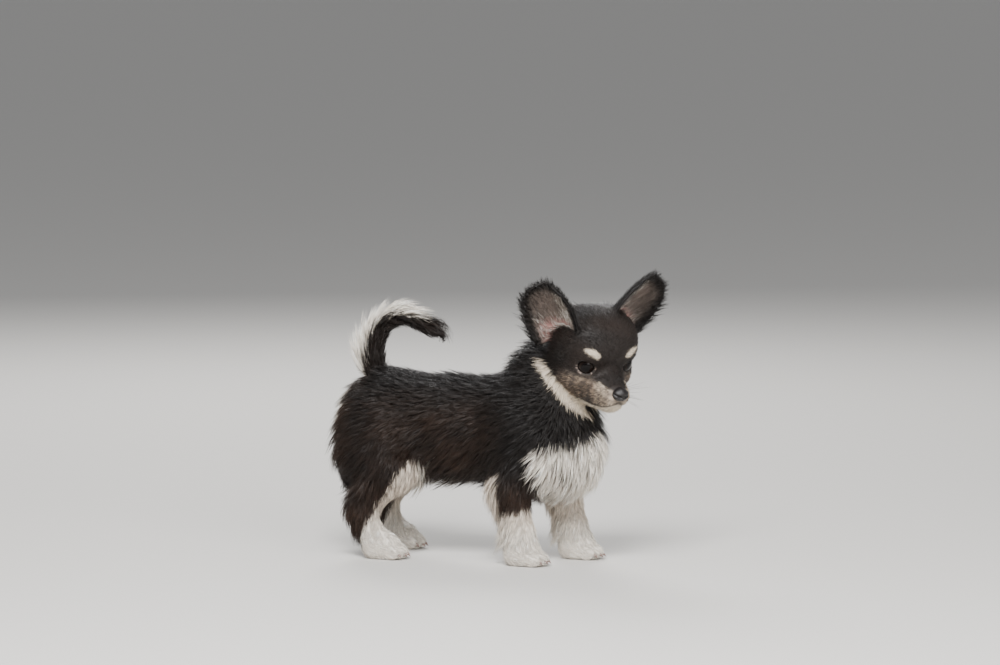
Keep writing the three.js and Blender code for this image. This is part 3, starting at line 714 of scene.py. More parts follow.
def new_object(name, verts, faces):
    """A mesh object from vertices in millimetres and faces that all have the same number of corners."""
    verts, faces = metres(verts), np.asarray(faces, np.int32)
    mesh = bpy.data.meshes.new(name)
    mesh.vertices.add(len(verts))
    mesh.vertices.foreach_set("co", verts.astype(np.float32).ravel())
    mesh.loops.add(faces.size)
    mesh.loops.foreach_set("vertex_index", faces.ravel())
    mesh.polygons.add(len(faces))
    mesh.polygons.foreach_set("loop_start", np.arange(len(faces), dtype=np.int32) * faces.shape[1])
    mesh.polygons.foreach_set("use_smooth", np.full(len(faces), True))
    mesh.update(calc_edges=True)
    piece = bpy.data.objects.new(name, mesh)
    bpy.context.scene.collection.objects.link(piece)
    return piece


def places_of(piece):
    co = np.empty(len(piece.data.vertices) * 3, np.float32)
    piece.data.vertices.foreach_get("co", co)
    return co.reshape(-1, 3).astype(float) * 1000 - SHIFT


def put(piece, p):
    piece.data.vertices.foreach_set("co", metres(p).astype(np.float32).ravel())
    piece.data.update()


def tint(piece, colour):
    attribute = piece.data.color_attributes.new("Tint", "FLOAT_COLOR", "POINT")
    rgba = np.concatenate([np.clip(colour, 0, 1), np.ones((len(colour), 1))], 1)
    attribute.data.foreach_set("color", rgba.astype(np.float32).ravel())


def pick(*pieces):
    bpy.ops.object.select_all(action="DESELECT")
    for piece in pieces:
        piece.select_set(True)
    bpy.context.view_layer.objects.active = pieces[0]


def apply_modifiers(piece):
    pick(piece)
    for modifier in list(piece.modifiers):
        bpy.ops.object.modifier_apply(modifier=modifier.name)


def add_ball(centre, radii, pitch=0.0):
    bpy.ops.mesh.primitive_ico_sphere_add(subdivisions=3, radius=1, location=(0, 0, 0))
    piece = bpy.context.active_object
    turn = Matrix(turn_y(math.radians(pitch)).tolist()).to_4x4()
    scale = Matrix.Diagonal(Vector([r / 1000 for r in radii] + [1]))
    piece.data.transform(Matrix.Translation(Vector(metres(centre))) @ turn @ scale)
    return piece


def add_bone(a, ra, b, rb):
    count = max(2, int(np.linalg.norm(np.subtract(a, b)) / (0.35 * min(ra, rb))) + 1)
    made = []
    for t in np.linspace(0, 1, count):
        r = ra + (rb - ra) * t
        made.append(add_ball(np.array(a) + (np.array(b, float) - a) * t, (r, r, r)))
    return made


def ear_sheet(shape, half_wall=1.7, rows=26, columns=18):
    """A thick leaf round an ear's middle sheet, for the skin to start from."""
    out, face, across = ear_axes(shape)
    verts, faces = [], []
    for side in (1, -1):
        for s in np.linspace(-0.06, 1.0, rows):
            at = max(s, 0.0)
            half = float(ear_half(at))
            for c in np.linspace(-1, 1, columns):
                q = np.array(shape["root"]) + out * (EAR_LENGTH * s - 4) + across * (c * 0.97 * half)
                verts.append(q + face * (float(ear_bow(at, c)) + side * half_wall))
    layer = rows * columns

    def corner(side, row, column):
        return side * layer + row * columns + column

    for i in range(rows - 1):
        for j in range(columns - 1):
            a, b, c, d = corner(0, i, j), corner(0, i, j + 1), corner(0, i + 1, j + 1), corner(0, i + 1, j)
            faces += [(a, b, c, d), (a + layer, d + layer, c + layer, b + layer)]
    border = [(0, j) for j in range(columns)]
    border += [(i, columns - 1) for i in range(1, rows)]
    border += [(rows - 1, j) for j in range(columns - 2, -1, -1)]
    border += [(i, 0) for i in range(rows - 2, 0, -1)]
    for here, after in zip(border, border[1:] + border[:1]):
        faces.append((corner(0, *after), corner(0, *here), corner(1, *here), corner(1, *after)))
    piece = new_object("ear_start", from_head(np.array(verts)), faces)
    pick(piece)
    bpy.ops.object.mode_set(mode="EDIT")
    bpy.ops.mesh.select_all(action="SELECT")
    bpy.ops.mesh.normals_make_consistent(inside=False)
    bpy.ops.object.mode_set(mode="OBJECT")
    return piece


def relax(p, edges, share):
    """Draws each point toward the middle of its neighbours."""
    first, second = edges.T
    count = np.bincount(edges.ravel(), minlength=len(p))
    total = np.zeros_like(p)
    for k in range(3):
        total[:, k] = np.bincount(first, p[second, k], len(p)) + np.bincount(second, p[first, k], len(p))
    return p + share * (total / np.maximum(count, 1)[:, None] - p)


def settle(piece, detail, rounds, share):
    """Moves a mesh onto the flesh, evening it out on the way."""
    edges = np.empty(len(piece.data.edges) * 2, np.int32)
    piece.data.edges.foreach_get("vertices", edges)
    edges = edges.reshape(-1, 2)
    p = places_of(piece)

    def field(q):
        return flesh(q, detail)

    for _ in range(rounds):
        if share:
            p = relax(p, edges, share)
        n = slope_of(field, p)
        d = field(p) / np.maximum(np.sum(n * n, axis=1), 0.2)
        p -= np.clip(d, -2.5, 2.5)[:, None] * n
    put(piece, p)


# Materials


def new_material(name, roughness, specular=0.4, colour=None):
    """A material in one colour, or in the piece's own tints where none is given."""
    material = bpy.data.materials.new(name)
    material.use_nodes = True
    tree = material.node_tree
    shader = tree.nodes["Principled BSDF"]
    shader.inputs["Roughness"].default_value = roughness
    shader.inputs["Specular IOR Level"].default_value = specular
    if colour is None:
        source = tree.nodes.new("ShaderNodeAttribute")
        source.attribute_name = "Tint"
        tree.links.new(source.outputs["Color"], shader.inputs["Base Color"])
    else:
        shader.inputs["Base Color"].default_value = (*colour, 1)
    return material


def add_pattern(material, kind, scale):
    """A texture on the piece's own coordinates."""
    tree = material.node_tree
    coords = tree.nodes.new("ShaderNodeTexCoord")
    texture = tree.nodes.new(kind)
    texture.inputs["Scale"].default_value = scale
    tree.links.new(coords.outputs["Object"], texture.inputs["Vector"])
    return texture


def add_mottle(material, scale, spread):
    """Makes the piece's tints a little lighter and darker from place to place."""
    tree = material.node_tree
    base = tree.nodes["Principled BSDF"].inputs["Base Color"]
    source = base.links[0].from_socket
    noise = add_pattern(material, "ShaderNodeTexNoise", scale)
    noise.inputs["Detail"].default_value = 3
    share = tree.nodes.new("ShaderNodeMapRange")
    share.inputs["To Min"].default_value = 1 - spread
    share.inputs["To Max"].default_value = 1 + spread
    tree.links.new(noise.outputs["Fac"], share.inputs["Value"])
    scaled = tree.nodes.new("ShaderNodeVectorMath")
    scaled.operation = "SCALE"
    tree.links.new(source, scaled.inputs[0])
    tree.links.new(share.outputs["Result"], scaled.inputs["Scale"])
    tree.links.new(scaled.outputs["Vector"], base)


def add_grain(material, texture, output, strength):
    """Fine relief from a texture's output."""
    tree = material.node_tree
    bump = tree.nodes.new("ShaderNodeBump")
    bump.inputs["Strength"].default_value = strength
    bump.inputs["Distance"].default_value = 0.0004
    tree.links.new(texture.outputs[output], bump.inputs["Height"])
    tree.links.new(bump.outputs["Normal"], tree.nodes["Principled BSDF"].inputs["Normal"])


def skin_material():
    material = new_material("Skin", 0.62, specular=0.3)
    add_mottle(material, 120, 0.15)
    add_grain(material, add_pattern(material, "ShaderNodeTexNoise", 900), "Fac", 0.25)
    return material


def nose_material(colour):
    """Moist black leather in small cells."""
    material = new_material("Nose", 0.4, colour=colour)
    add_grain(material, add_pattern(material, "ShaderNodeTexVoronoi", 2100), "Distance", 0.3)
    return material


def eye_material(name, s, colour, iris):
    """Near-black, with a dark brown iris round a wide pupil."""
    material = new_material(name, 0.03, specular=0.14, colour=colour)
    tree = material.node_tree
    coords = tree.nodes.new("ShaderNodeTexCoord")
    apart = tree.nodes.new("ShaderNodeVectorMath")
    apart.operation = "DISTANCE"
    centre = metres(from_head(eye_centre(s)))
    apart.inputs[1].default_value = tuple(centre + HEAD_TURN @ gaze(s) * EYE_RADIUS / 1000)
    tree.links.new(coords.outputs["Object"], apart.inputs[0])
    scale = tree.nodes.new("ShaderNodeMath")
    scale.operation = "MULTIPLY"
    scale.inputs[1].default_value = 100.0
    tree.links.new(apart.outputs["Value"], scale.inputs[0])
    # Centimetres from the front of the eye: the pupil, its edge, the iris, its outer part and the dark rim
    stops = [
        (0.0, (0.002, 0.0015, 0.0015)),
        (0.33, (0.003, 0.002, 0.002)),
        (0.44, iris),
        (0.55, (0.006, 0.004, 0.003)),
        (0.62, (0.003, 0.002, 0.002)),
    ]
    ramp = tree.nodes.new("ShaderNodeValToRGB")
    elements = ramp.color_ramp.elements
    for element, (at, tone) in zip(elements, (stops[0], stops[-1])):
        element.position = at
        element.color = (*tone, 1)
    for at, tone in stops[1:-1]:
        elements.new(at).color = (*tone, 1)
    tree.links.new(scale.outputs["Value"], ramp.inputs["Fac"])
    tree.links.new(ramp.outputs["Color"], tree.nodes["Principled BSDF"].inputs["Base Color"])
    return material


# Settings


def colour_setting(name, description, default):
    return bpy.props.FloatVectorProperty(
        name=name,
        description=description,
        default=default,
        subtype="COLOR",
        size=3,
        min=0.0,
        max=1.0,
    )


class PuppyColours(bpy.types.PropertyGroup):
    black: colour_setting("Black", "Dark hairs, lips and lids", (0.0095, 0.0073, 0.0064))
    brown: colour_setting("Brown", "Warm tone in the dark coat", (0.078, 0.040, 0.023))
    cream: colour_setting("Cream", "Brows, stripe and muzzle", (0.70, 0.59, 0.45))
    white: colour_setting("White", "Bib, legs and the tail's outer side", (0.84, 0.79, 0.72))
    # Tan is the cheeks' own colour, and painted shade on the pale legs.
    tan: colour_setting("Tan", "Cheeks and the shade in the pale legs", (0.46, 0.32, 0.21))
    grey: colour_setting("Grey", "Grey-brown hairs of the muzzle and ears", (0.135, 0.103, 0.086))
    pink: colour_setting("Pink", "Bare skin at the base of the ears", (0.60, 0.27, 0.24))
    eye: colour_setting("Eye", "Eyeball outside the iris", (0.003, 0.0025, 0.0025))
    iris: colour_setting("Iris", "Ring round the pupil", (0.009, 0.005, 0.0035))
    nose: colour_setting("Nose", "Nose pad", (0.009, 0.007, 0.007))
    claw: colour_setting("Claw", "Claws", (0.20, 0.13, 0.11))


class PuppyCoat(bpy.types.PropertyGroup):
    length: bpy.props.FloatProperty(
        name="Coat length",
        description="Scale of every tuft's length",
        default=1.0,
        min=0.3,
        max=2.0,
        subtype="FACTOR",
    )
    strands: bpy.props.IntProperty(
        name="Strands",
        description="Strands in the whole coat",
        default=104000,
        min=5000,
        max=200000,
    )
    clump: bpy.props.FloatProperty(
        name="Clumping",
        description="How far the strands of a tuft draw together at its tip",
        default=0.4,
        min=0.0,
        max=1.0,
        subtype="FACTOR",
    )
    seed: bpy.props.IntProperty(
        name="Seed",
        description="Seed of the coat's random draws",
        default=4,
        min=0,
    )


class PuppySkin(bpy.types.PropertyGroup):
    facet: bpy.props.FloatProperty(
        name="Skin facet",
        description="Size of the skin's facets",
        default=0.0013,
        min=0.0008,
        max=0.004,
        precision=4,
        unit="LENGTH",
    )
    whisker: bpy.props.FloatProperty(
        name="Whisker length",
        description="Length of the longest whisker",
        default=0.026,
        min=0.005,
        max=0.05,
        unit="LENGTH",
    )


def tones_of(colours):
    """The colour settings as arrays, by name."""
    return {name: np.array(getattr(colours, name)[:], float) for name in PuppyColours.__annotations__}


def finish(piece, material, slot, *nodes):
    """Gives a piece its material, rides it on the body, and hides the solids that it replaces. The slot is
    not used.
    """
    piece.data.materials.clear()
    piece.data.materials.append(material)
    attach(piece, "root")
    if nodes:
        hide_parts(*nodes)


# Skin

FLESH_NODES = [
    "head",
    "neck",
    "torso",
    "tail_root",
    "tail_middle",
    "tail_tip",
    "ear_right",
    "ear_left",
    *[f"leg_{name}" for name in LIMBS],
    *[f"paw_{name}" for name in LIMBS],
]

# Reach of the finer facets from the middle of the face, in metres
FINE_REACH = 0.030


def trunk_starts():
    starts = [add_ball(*form) for form in TRUNK_BALLS] + add_bone(*NECK)
    return starts + both(lambda s: add_ball((CROUP_X - 4, s * 19, 86), (31, 15, 35), -14))


def limb_starts(joints, radii, paw):
    starts = sum(chain(add_bone, joints, radii), []) + add_bone(*heel_bone(paw))
    return starts + [add_ball(place, TOE_RADII) for _, place in toe_places(paw)]


def tail_starts():
    return sum(chain(add_bone, TAIL_POINTS, TAIL_RADII), [])


def head_starts():
    return [
        add_ball(from_head((-2, 0, 4)), (30, 29, 28)),
        *add_bone(from_head((6, 0, -10)), 20, from_head((34, 0, -20)), 11),
        *add_bone(from_head((34, 0, -20)), 11, from_head((40, 0, -21)), 9),
        *[ear_sheet(shape) for shape in EARS.values()],
    ]


def refine_face(piece):
    """Splits the facets round the eyes and the muzzle."""
    mesh = bmesh.new()
    mesh.from_mesh(piece.data)
    middle = Vector(metres(from_head((30, 0, -10))))
    fine = [e for e in mesh.edges if (middle - (e.verts[0].co + e.verts[1].co) / 2).length < FINE_REACH]
    bmesh.ops.subdivide_edges(mesh, edges=fine, cuts=1, use_grid_fill=True)
    bmesh.ops.triangulate(mesh, faces=[f for f in mesh.faces if len(f.verts) > 4])
    mesh.to_mesh(piece.data)
    mesh.free()


def unwrap(piece):
    pick(piece)
    bpy.ops.object.mode_set(mode="EDIT")
    bpy.ops.mesh.select_all(action="SELECT")
    bpy.ops.uv.smart_project(angle_limit=math.radians(66), island_margin=0.004)
    bpy.ops.object.mode_set(mode="OBJECT")
    piece.data.uv_layers[0].name = "OFBake"


class MakeSkin(bpy.types.Operator):
    """One closed skin over the whole puppy, with its ears, lids and mouth"""

    bl_idname = "puppy.make_skin"
    bl_label = "Make the skin"

    def execute(self, context):
        starts = trunk_starts()
        for limb in LIMBS.values():
            starts += limb_starts(*limb)
        starts += tail_starts() + head_starts()
        pick(*starts)
        bpy.ops.object.join()
        skin = bpy.context.active_object
        skin.name = "skin"
        remesh = skin.modifiers.new("Remesh", "REMESH")
        remesh.mode = "VOXEL"
        remesh.voxel_size = context.scene.puppy_skin.facet
        apply_modifiers(skin)
        settle(skin, False, 5, 0.5)
        refine_face(skin)
        settle(skin, True, 2, 0.3)
        settle(skin, True, 2, 0)
        skin.data.polygons.foreach_set("use_smooth", np.ones(len(skin.data.polygons), bool))
        unwrap(skin)
        tint(skin, skin_colour(places_of(skin)))
        finish(skin, skin_material(), "black_coat", *FLESH_NODES)
        return {"FINISHED"}


# Eyes and nose


class MakeEyes(bpy.types.Operator):
    """Two eyeballs, smooth and wet"""

    bl_idname = "puppy.make_eyes"
    bl_label = "Make the eyes"

    def execute(self, context):
        tones = tones_of(context.scene.puppy_colours)
        for name, s in (("right", -1), ("left", 1)):
            bpy.ops.mesh.primitive_uv_sphere_add(segments=48, ring_count=32, radius=EYE_RADIUS / 1000)
            eye = bpy.context.active_object
            eye.name = f"eyeball_{name}"
            eye.data.transform(Matrix.Translation(Vector(metres(from_head(eye_centre(s))))))
            bpy.ops.object.shade_smooth()
            finish(eye, eye_material(f"Eye {name}", s, tones["eye"], tones["iris"]), "eye", f"eye_{name}")
        return {"FINISHED"}


def nostril(s):
    """Middle line of a nostril, from beside the tip out to its slit."""
    x, _, z = NOSE_TIP
    return np.array([(x + 1.4, s * 2.2, z - 0.6), (x - 0.6, s * 3.4, z - 0.2), (x - 2.4, s * 6.0, z + 0.8)])


class MakeNose(bpy.types.Operator):
    """The nose pad with its nostrils and the groove between them"""

    bl_idname = "puppy.make_nose"
    bl_label = "Make the nose"

    def execute(self, context):
        bpy.ops.mesh.primitive_uv_sphere_add(segments=72, ring_count=48, radius=1)
        nose = bpy.context.active_object
        nose.name = "nose_pad"
        co = np.array([v.co for v in nose.data.vertices], float)
        p = co * NOSE_PAD + (NOSE_TIP[0] - 4, 0, NOSE_TIP[2])
        p[:, 2] += 0.6 * step(-np.abs(p[:, 1]), -4, 0) * (co[:, 2] > 0)
        for s in (-1, 1):
            deep = 1 - step(near_path(p, nostril(s), (1.1, 1.2, 0.6)), -0.9, 0.5)
            p[:, 0] -= 1.7 * deep
            p[:, 1] -= s * 0.7 * deep
        groove = (1 - step(np.abs(p[:, 1]), 0.15, 0.8)) * (co[:, 2] < 0.2) * (co[:, 0] > 0)
        p[:, 0] -= 0.7 * groove
        put(nose, from_head(p))
        bpy.ops.object.shade_smooth()
        finish(nose, nose_material(tones_of(context.scene.puppy_colours)["nose"]), "nose_skin", "nose")
        return {"FINISHED"}


# Coat

COAT_PARTS = ("trunk", "leg", "tail", "face", "ear")
ROOT_SHARES = (1.0, 1.4, 2.4, 3.6, 2.4)
STRANDS_A_TUFT = 5
LINE_POINTS = 4
SHORT_STRAND = (0, 1, 3)
LONG_STRAND = (0, 1, 2, 3)

# How far tufts differ in length, rise and lie, and how far strands stray from their tuft and roll
LENGTH_SPREAD = 0.2
RISE_SPREAD = 0.35
SWAY = 0.13
STRAY = 0.035
ROLL = 0.3

# A strand's thickness as a share of its width, the scatter of the markings in mm, and how low coat may hang
THICKNESS = 0.35
SCATTER = 0.7
TUFT_LOW = 0.4
STRAND_LOW = 0.25


def strand_mesh(name, paths, side, up, width, thick, uv, colour):
    """Closed three-sided blades along paths of (strand, point, axis), each with a patch of the bake map."""
    count, points, _ = paths.shape
    rings = points - 1
    per = 3 * rings + 1
    verts = np.empty((count, per, 3))
    taper = np.linspace(1, 0.45, rings)
    taper[0] = 0.8
    corners = [(0.5, 0.0), (0.0, 1.0), (-0.5, 0.0)]
    for r in range(rings):
        for k, (a, b) in enumerate(corners):
            across = side[:, r] * (a * width * taper[r])[:, None]
            verts[:, 3 * r + k] = paths[:, r] + across + up[:, r] * (b * thick * taper[r])[:, None]
    verts[:, -1] = paths[:, -1]
    faces = [(0, 2, 1)]
    for r in range(rings - 1):
        for k in range(3):
            a, b = 3 * r + k, 3 * r + (k + 1) % 3
            faces += [(a, b, b + 3), (a, b + 3, a + 3)]
    last = 3 * (rings - 1)
    faces += [(last, last + 1, per - 1), (last + 1, last + 2, per - 1), (last + 2, last, per - 1)]
    faces = np.array(faces)
    every = (faces[None] + (np.arange(count) * per)[:, None, None]).reshape(-1, 3)
    piece = new_object(name, verts.reshape(-1, 3), every)
    patch = np.array([(k % 3 * 0.5, k // 3 / rings) for k in range(per)]) - 0.5
    corner = (uv[:, None, :] + PATCH * patch[None]).reshape(-1, 2)[every.ravel()]
    piece.data.uv_layers.new(name="OFBake").data.foreach_set("uv", corner.astype(np.float32).ravel())
    # Darker at the root and lighter at the tip
    shade = np.append(np.linspace(0.75, 1.12, rings).repeat(3), 1.18)
    tint(piece, (colour[:, None, :] * shade[None, :, None]).reshape(-1, 3))
    return piece


class Ground:
    """The skin's triangles, with the share of roots that each one gets."""

    def __init__(self, skin):
        mesh = skin.data
        mesh.calc_loop_triangles()
        tris = np.empty(len(mesh.loop_triangles) * 3, np.int32)
        loops = np.empty(len(mesh.loop_triangles) * 3, np.int32)
        uv = np.empty(len(mesh.loops) * 2, np.float32)
        mesh.loop_triangles.foreach_get("vertices", tris)
        mesh.loop_triangles.foreach_get("loops", loops)
        mesh.uv_layers["OFBake"].data.foreach_get("uv", uv)
        self.corners = places_of(skin)[tris.reshape(-1, 3)]
        self.patches = uv.reshape(-1, 2)[loops.reshape(-1, 3)]
        a, b, c = (self.corners[:, k] for k in range(3))
        self.cross = np.cross(b - a, c - a)
        self.share = self.root_share((a + b + c) / 3, np.linalg.norm(self.cross, axis=1) / 2)

    def root_share(self, middle, area):
        """Roots by area, closer on the face and paws, with none on the soles, eyes, nose and lips."""
        where, h = places(middle)
        share = np.choose(where, ROOT_SHARES) * area
        share[(where == LEG) & (middle[:, 2] < 20)] *= 1.3
        share[middle[:, 2] < 1.2] = 0
        for s in (-1, 1):
            share[np.linalg.norm(h - eye_centre(s), axis=1) < EYE_RADIUS + 1.6] = 0
        share[np.linalg.norm(h - (NOSE_TIP - (4, 0, 0)), axis=1) < NOSE_CLEAR] = 0
        share *= 1 - 0.35 * ear_local(h)[2] * (where == EAR)
        share[near_mouth(h) < 0.5] = 0
        return share / share.sum()

    def sow(self, rng, count):
        """Random roots on the skin, with their places on its unwrap and their normals."""
        chosen = rng.choice(len(self.share), count, p=self.share)
        u = rng.random((count, 2))
        flip = u.sum(1) > 1
        u[flip] = 1 - u[flip]
        weights = np.column_stack([1 - u.sum(1), u])
        root = np.einsum("nk,nkj->nj", weights, self.corners[chosen])
        patch = np.einsum("nk,nkj->nj", weights, self.patches[chosen])
        return root, patch, unit(self.cross[chosen])


def grow_tufts(seeds, seed_n, where, h, length, rise, sway):
    """The tufts' middle lines, which follow the lie of the coat and rise to their tips, with normals."""
    ear = (where == EAR)[:, None]
    line, normals = [seeds], [seed_n]
    q = seeds.copy()
    for i in range(1, LINE_POINTS):
        n = np.where(ear, seed_n, unit(slope_of(flesh, q)))
        lie = lie_of(q, where, h) + sway
        lie = unit(lie - n * np.sum(lie * n, axis=1)[:, None])
        q = q + lie * (length / (LINE_POINTS - 1))[:, None]
        before, high = (rise * (k / (LINE_POINTS - 1)) ** 0.75 for k in (i - 1, i))
        n = unit(slope_of(flesh, q))
        q = q + np.where(ear, seed_n * (high - before)[:, None], n * (high - flesh(q))[:, None])
        q[:, 2] = np.maximum(q[:, 2], TUFT_LOW)
        line.append(q.copy())
        normals.append(np.where(ear, seed_n, n))
    return np.stack(line, 1), np.stack(normals, 1)


def nearest_tufts(seeds, seed_n, roots, root_n):
    """The tuft of each root: the nearest seed, measured off the skin to keep an ear's two sides apart."""
    tree = kdtree.KDTree(len(seeds))
    for i, (place, n) in enumerate(zip(seeds, seed_n)):
        tree.insert(Vector(place + 3 * n), i)
    tree.balance()
    return np.array([tree.find(Vector(place + 3 * n))[1] for place, n in zip(roots, root_n)])


def varied(rng, count, spread):
    return 1 + spread * (rng.random(count) * 2 - 1)


def strand_width(length):
    return np.clip(0.24 + 0.023 * length, 0.3, 0.66)


class MakeCoat(bpy.types.Operator):
    """The coat: strands drawn together in tufts, along the lie of the coat"""

    bl_idname = "puppy.make_coat"
    bl_label = "Make the coat"

    def execute(self, context):
        settings = context.scene.puppy_coat
        rng = np.random.default_rng(settings.seed)
        ground = Ground(bpy.data.objects["skin"])
        seeds, _, seed_n = ground.sow(rng, settings.strands // STRANDS_A_TUFT)
        where, h = places(seeds)
        length, rise = coat_shape(seeds, where, h)
        length = length * varied(rng, len(seeds), LENGTH_SPREAD) * settings.length
        rise = rise * varied(rng, len(seeds), RISE_SPREAD) * settings.length
        sway = rng.normal(0, SWAY, (len(seeds), 3))
        line, normals = grow_tufts(seeds, seed_n, where, h, length, rise, sway)

        roots, patches, root_n = ground.sow(rng, settings.strands)
        tuft_of = nearest_tufts(seeds, seed_n, roots, root_n)
        near = np.linalg.norm(seeds[tuft_of] - roots, axis=1) < TUFT_REACH
        roots, patches, root_n, tuft_of = roots[near], patches[near], root_n[near], tuft_of[near]
        count = len(roots)
        parts = np.linspace(0, 1, LINE_POINTS)[None, :, None]
        stretch = (0.82 + 0.3 * rng.random(count))[:, None, None]
        paths = roots[:, None] + (line[tuft_of] - line[tuft_of][:, :1]) * stretch
        paths = paths + (seeds[tuft_of] - roots)[:, None] * (settings.clump * parts**1.2)
        paths += rng.normal(0, STRAY, (count, 1, 3)) * parts * length[tuft_of][:, None, None]
        paths[:, 0] -= root_n * ROOT_DEPTH
        paths[:, :, 2] = np.maximum(paths[:, :, 2], STRAND_LOW)
        along = unit(np.gradient(paths, axis=1))
        side = unit(np.cross(normals[tuft_of], along) + rng.normal(0, ROLL, (count, 1, 3)))
        up = unit(np.cross(along, side))
        width = strand_width(length[tuft_of]) * (0.8 + 0.4 * rng.random(count))

        # A strand takes the marking under its middle, with a little scatter off the ears
        group, _ = places(roots)
        ear = (group == EAR)[:, None]
        seen = roots + 0.55 * (paths[:, 2] - paths[:, 0])
        seen = np.where(ear, roots, seen - root_n * np.maximum(flesh(seen), 0)[:, None])
        seen = seen + rng.normal(0, SCATTER, (count, 3)) * ~ear
        colour = coat_colour(seen, 0.2 + 0.6 * rng.random(count))
        colour *= (0.7 + 0.6 * rng.random(count))[:, None]
        colour *= (0.85 + 0.3 * rng.random(len(seeds)))[tuft_of][:, None]

        material = new_material("Coat", 0.42, specular=0.35)
        for k, part in enumerate(COAT_PARTS):
            mine = np.flatnonzero(group == k)
            order = mine[np.argsort(roots[mine][:, 0 if k == TRUNK else 1])]
            steps = SHORT_STRAND if k in (FACE, EAR) else LONG_STRAND
            pieces = max(1, math.ceil(len(order) * (6 * len(steps) - 8) / FACETS_A_PIECE))
            for i, share in enumerate(np.array_split(order, pieces)):
                shape = [v[share][:, steps] for v in (paths, side, up)]
                looks = (width[share], THICKNESS * width[share], patches[share], colour[share])
                finish(strand_mesh(f"coat_{part}_{i + 1}", *shape, *looks), material, "black_coat")
        return {"FINISHED"}


# Claws and whiskers

CLAW_RADII = (1.15, 1.0, 0.72, 0.12)
CLAW_SIDES = 10
WHISKER_WIDTH = 0.22


def claw_path(share, place):
    """From the toe forward and down, turned out a little with the toe."""
    bend = [(0, 0, 0), (1.6, share * 0.5, 0.1), (3.2, share * 1.2, -0.7), (4.4, share * 1.8, -2.2)]
    return place + (4.6, 0, -0.9) + np.array(bend)


def claw_mesh(path, base):
    """A tapered horn along a path, with its faces counted on from `base`."""
    verts, faces = [], []
    along = unit(np.gradient(path, axis=0))
    for at, way, radius in zip(path, along, CLAW_RADII):
        side = unit(np.cross([0, 0, 1], way))
        up = np.cross(way, side)
        for k in range(CLAW_SIDES):
            angle = 2 * math.pi * k / CLAW_SIDES
            verts.append(at + side * math.cos(angle) * radius * 0.8 + up * math.sin(angle) * radius)
    verts += [path[0] - along[0] * 0.4, path[-1] + along[-1] * 0.25]
    rings = len(CLAW_RADII)
    for r in range(rings - 1):
        for k in range(CLAW_SIDES):
            a, b = base + r * CLAW_SIDES + k, base + r * CLAW_SIDES + (k + 1) % CLAW_SIDES
            faces += [(a, b, b + CLAW_SIDES), (a, b + CLAW_SIDES, a + CLAW_SIDES)]
    first = base + rings * CLAW_SIDES
    tip_ring = (rings - 1) * CLAW_SIDES
    for k in range(CLAW_SIDES):
        a, b = base + k, base + (k + 1) % CLAW_SIDES
        faces += [(b, a, first), (a + tip_ring, b + tip_ring, first + 1)]
    return verts, faces


class MakeClaws(bpy.types.Operator):
    """Four claws on each paw, in one piece for each paw"""

    bl_idname = "puppy.make_claws"
    bl_label = "Make the claws"

    def execute(self, context):
        tones = tones_of(context.scene.puppy_colours)
        material = new_material("Claw", 0.3, specular=0.5, colour=tones["claw"])
        for name, (_, _, paw) in LIMBS.items():
            verts, faces = [], []
            for share, place in toe_places(paw):
                more_verts, more_faces = claw_mesh(claw_path(share, place), len(verts))
                verts += more_verts
                faces += more_faces
            finish(new_object(f"claws_{name}", np.array(verts), faces), material, "nose_skin")
        return {"FINISHED"}


def whisker_path(s, row, k, rng, longest):
    """From a pore on one side of the muzzle, out and slightly back, drooping to its tip."""
    root = np.array([[38 - 3.2 * k, s * (7.5 + 1.1 * k), -18.5 - 2.6 * row]])
    for _ in range(6):
        root = root - slope_of(face_field, root) * face_field(root)[:, None]
    out = unit(np.array([0.45 - 0.3 * k, s * 1.0, 0.12 - 0.22 * row]) + rng.normal(0, 0.08, 3))
    length = longest * (0.55 + 0.45 * rng.random())
    t = np.linspace(0, 1, 5)[:, None]
    droop = np.array([-0.5, 0, -0.35]) * 6 * t**2
    return from_head(root[0] - out * 0.6 + out * length * t + droop)


class MakeWhiskers(bpy.types.Operator):
    """Fine dark whiskers on both sides of the muzzle"""

    bl_idname = "puppy.make_whiskers"
    bl_label = "Make the whiskers"

    def execute(self, context):
        rng = np.random.default_rng(7)
        longest = context.scene.puppy_skin.whisker * 1000
        spots = [(s, row, k) for s in (-1, 1) for row in range(3) for k in range(4)]
        paths = np.array([whisker_path(*spot, rng, longest) for spot in spots])
        along = unit(np.gradient(paths, axis=1))
        side = unit(np.cross(along, [0, 0, 1]))
        up = unit(np.cross(along, side))
        width = np.full(len(paths), WHISKER_WIDTH)
        patches = np.full((len(paths), 2), 0.5)
        colour = np.tile(tones_of(context.scene.puppy_colours)["black"], (len(paths), 1))
        whiskers = strand_mesh("whiskers", paths, side, up, width, width * 0.8, patches, colour)
        finish(whiskers, new_material("Whisker", 0.4), "black_coat")
        return {"FINISHED"}


# Stage

LAMPS = (
    # name, place from the puppy's middle, size and power
    ("key", (0.3, -1.2, 1.25), 0.65, 54),
    ("fill", (1.3, -1.0, 0.6), 1.0, 20),
    ("rim", (-0.7, 1.2, 1.1), 0.8, 26),
)
SKY = (0.83, 0.85, 0.88, 1)
SKY_STRENGTH = 0.44
FLOOR_SIZE = 90
FLOOR_COLOUR = (0.62, 0.60, 0.57)


def add_floor():
    bpy.ops.mesh.primitive_plane_add(size=FLOOR_SIZE)
    floor = bpy.context.active_object
    floor.name = "floor"
    floor.data.materials.append(new_material("Floor", 0.8, specular=0.2, colour=FLOOR_COLOUR))


def add_sky(scene):
    scene.world = scene.world or bpy.data.worlds.new("World")
    scene.world.use_nodes = True
    background = scene.world.node_tree.nodes["Background"]
    background.inputs["Color"].default_value = SKY
    background.inputs["Strength"].default_value = SKY_STRENGTH


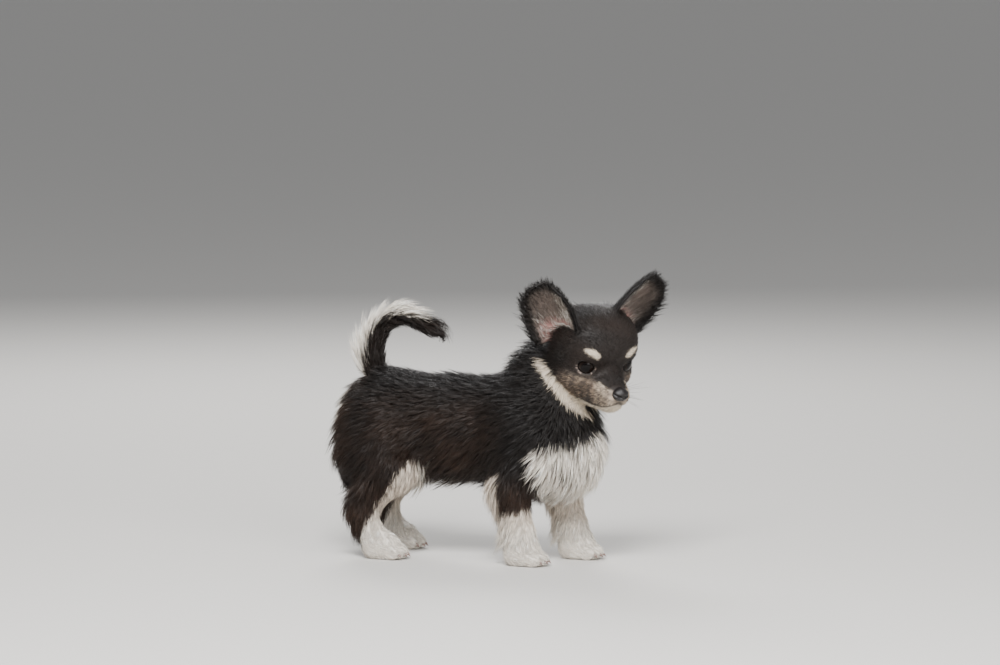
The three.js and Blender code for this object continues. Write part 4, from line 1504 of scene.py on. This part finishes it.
def add_lamps(scene):
    centre = Vector(metres((0, 0, 100)))
    for name, at, size, power in LAMPS:
        light = bpy.data.lights.new(name, "AREA")
        light.size = size
        light.energy = power
        lamp = bpy.data.objects.new(name, light)
        lamp.location = centre + Vector(at)
        lamp.rotation_euler = (-Vector(at)).to_track_quat("-Z", "Y").to_euler()
        scene.collection.objects.link(lamp)


def add_camera(scene):
    ahead = np.array([-math.sin(VIEW_TURN), math.cos(VIEW_TURN), 0])
    right = np.array([math.cos(VIEW_TURN), math.sin(VIEW_TURN), 0])
    camera = bpy.data.objects.new("camera", bpy.data.cameras.new("camera"))
    camera.data.lens = FOCAL_LENGTH * SENSOR / PICTURE_WIDTH
    camera.data.sensor_width = SENSOR
    camera.data.clip_end = 30
    camera.location = metres(-ahead * VIEW_BACK + right * VIEW_RIGHT + np.array([0, 0, VIEW_HEIGHT]))
    camera.rotation_euler = (math.pi / 2 - math.atan(HORIZON_RISE / FOCAL_LENGTH), 0, VIEW_TURN)
    scene.collection.objects.link(camera)
    scene.camera = camera


class MakeStage(bpy.types.Operator):
    """Plain pale floor, soft studio light and the camera"""

    bl_idname = "puppy.make_stage"
    bl_label = "Set the stage"

    def execute(self, context):
        add_floor()
        add_sky(context.scene)
        add_lamps(context.scene)
        add_camera(context.scene)
        return {"FINISHED"}


class PuppyPanel(bpy.types.Panel):
    """Sizes, colours and steps of the puppy"""

    bl_idname = "VIEW3D_PT_puppy"
    bl_label = "Puppy"
    bl_space_type = "VIEW_3D"
    bl_region_type = "UI"
    bl_category = "Puppy"

    def draw(self, context):
        scene = context.scene
        for group in (scene.puppy_colours, scene.puppy_skin, scene.puppy_coat):
            for name in group.__annotations__:
                self.layout.prop(group, name)
        for operator in OPERATORS:
            self.layout.operator(operator.bl_idname)


OPERATORS = (MakeStage, MakeSkin, MakeEyes, MakeNose, MakeCoat, MakeClaws, MakeWhiskers)
CLASSES = (PuppyColours, PuppyCoat, PuppySkin, *OPERATORS, PuppyPanel)


def register():
    for cls in CLASSES:
        bpy.utils.register_class(cls)
    bpy.types.Scene.puppy_colours = bpy.props.PointerProperty(type=PuppyColours)
    bpy.types.Scene.puppy_coat = bpy.props.PointerProperty(type=PuppyCoat)
    bpy.types.Scene.puppy_skin = bpy.props.PointerProperty(type=PuppySkin)


def unregister():
    del bpy.types.Scene.puppy_skin
    del bpy.types.Scene.puppy_coat
    del bpy.types.Scene.puppy_colours
    for cls in reversed(CLASSES):
        bpy.utils.unregister_class(cls)


def main():
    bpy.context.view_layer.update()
    register()
    for operator in OPERATORS:
        group, name = operator.bl_idname.split(".")
        getattr(getattr(bpy.ops, group), name)()


if __name__ == "__main__":
    main()
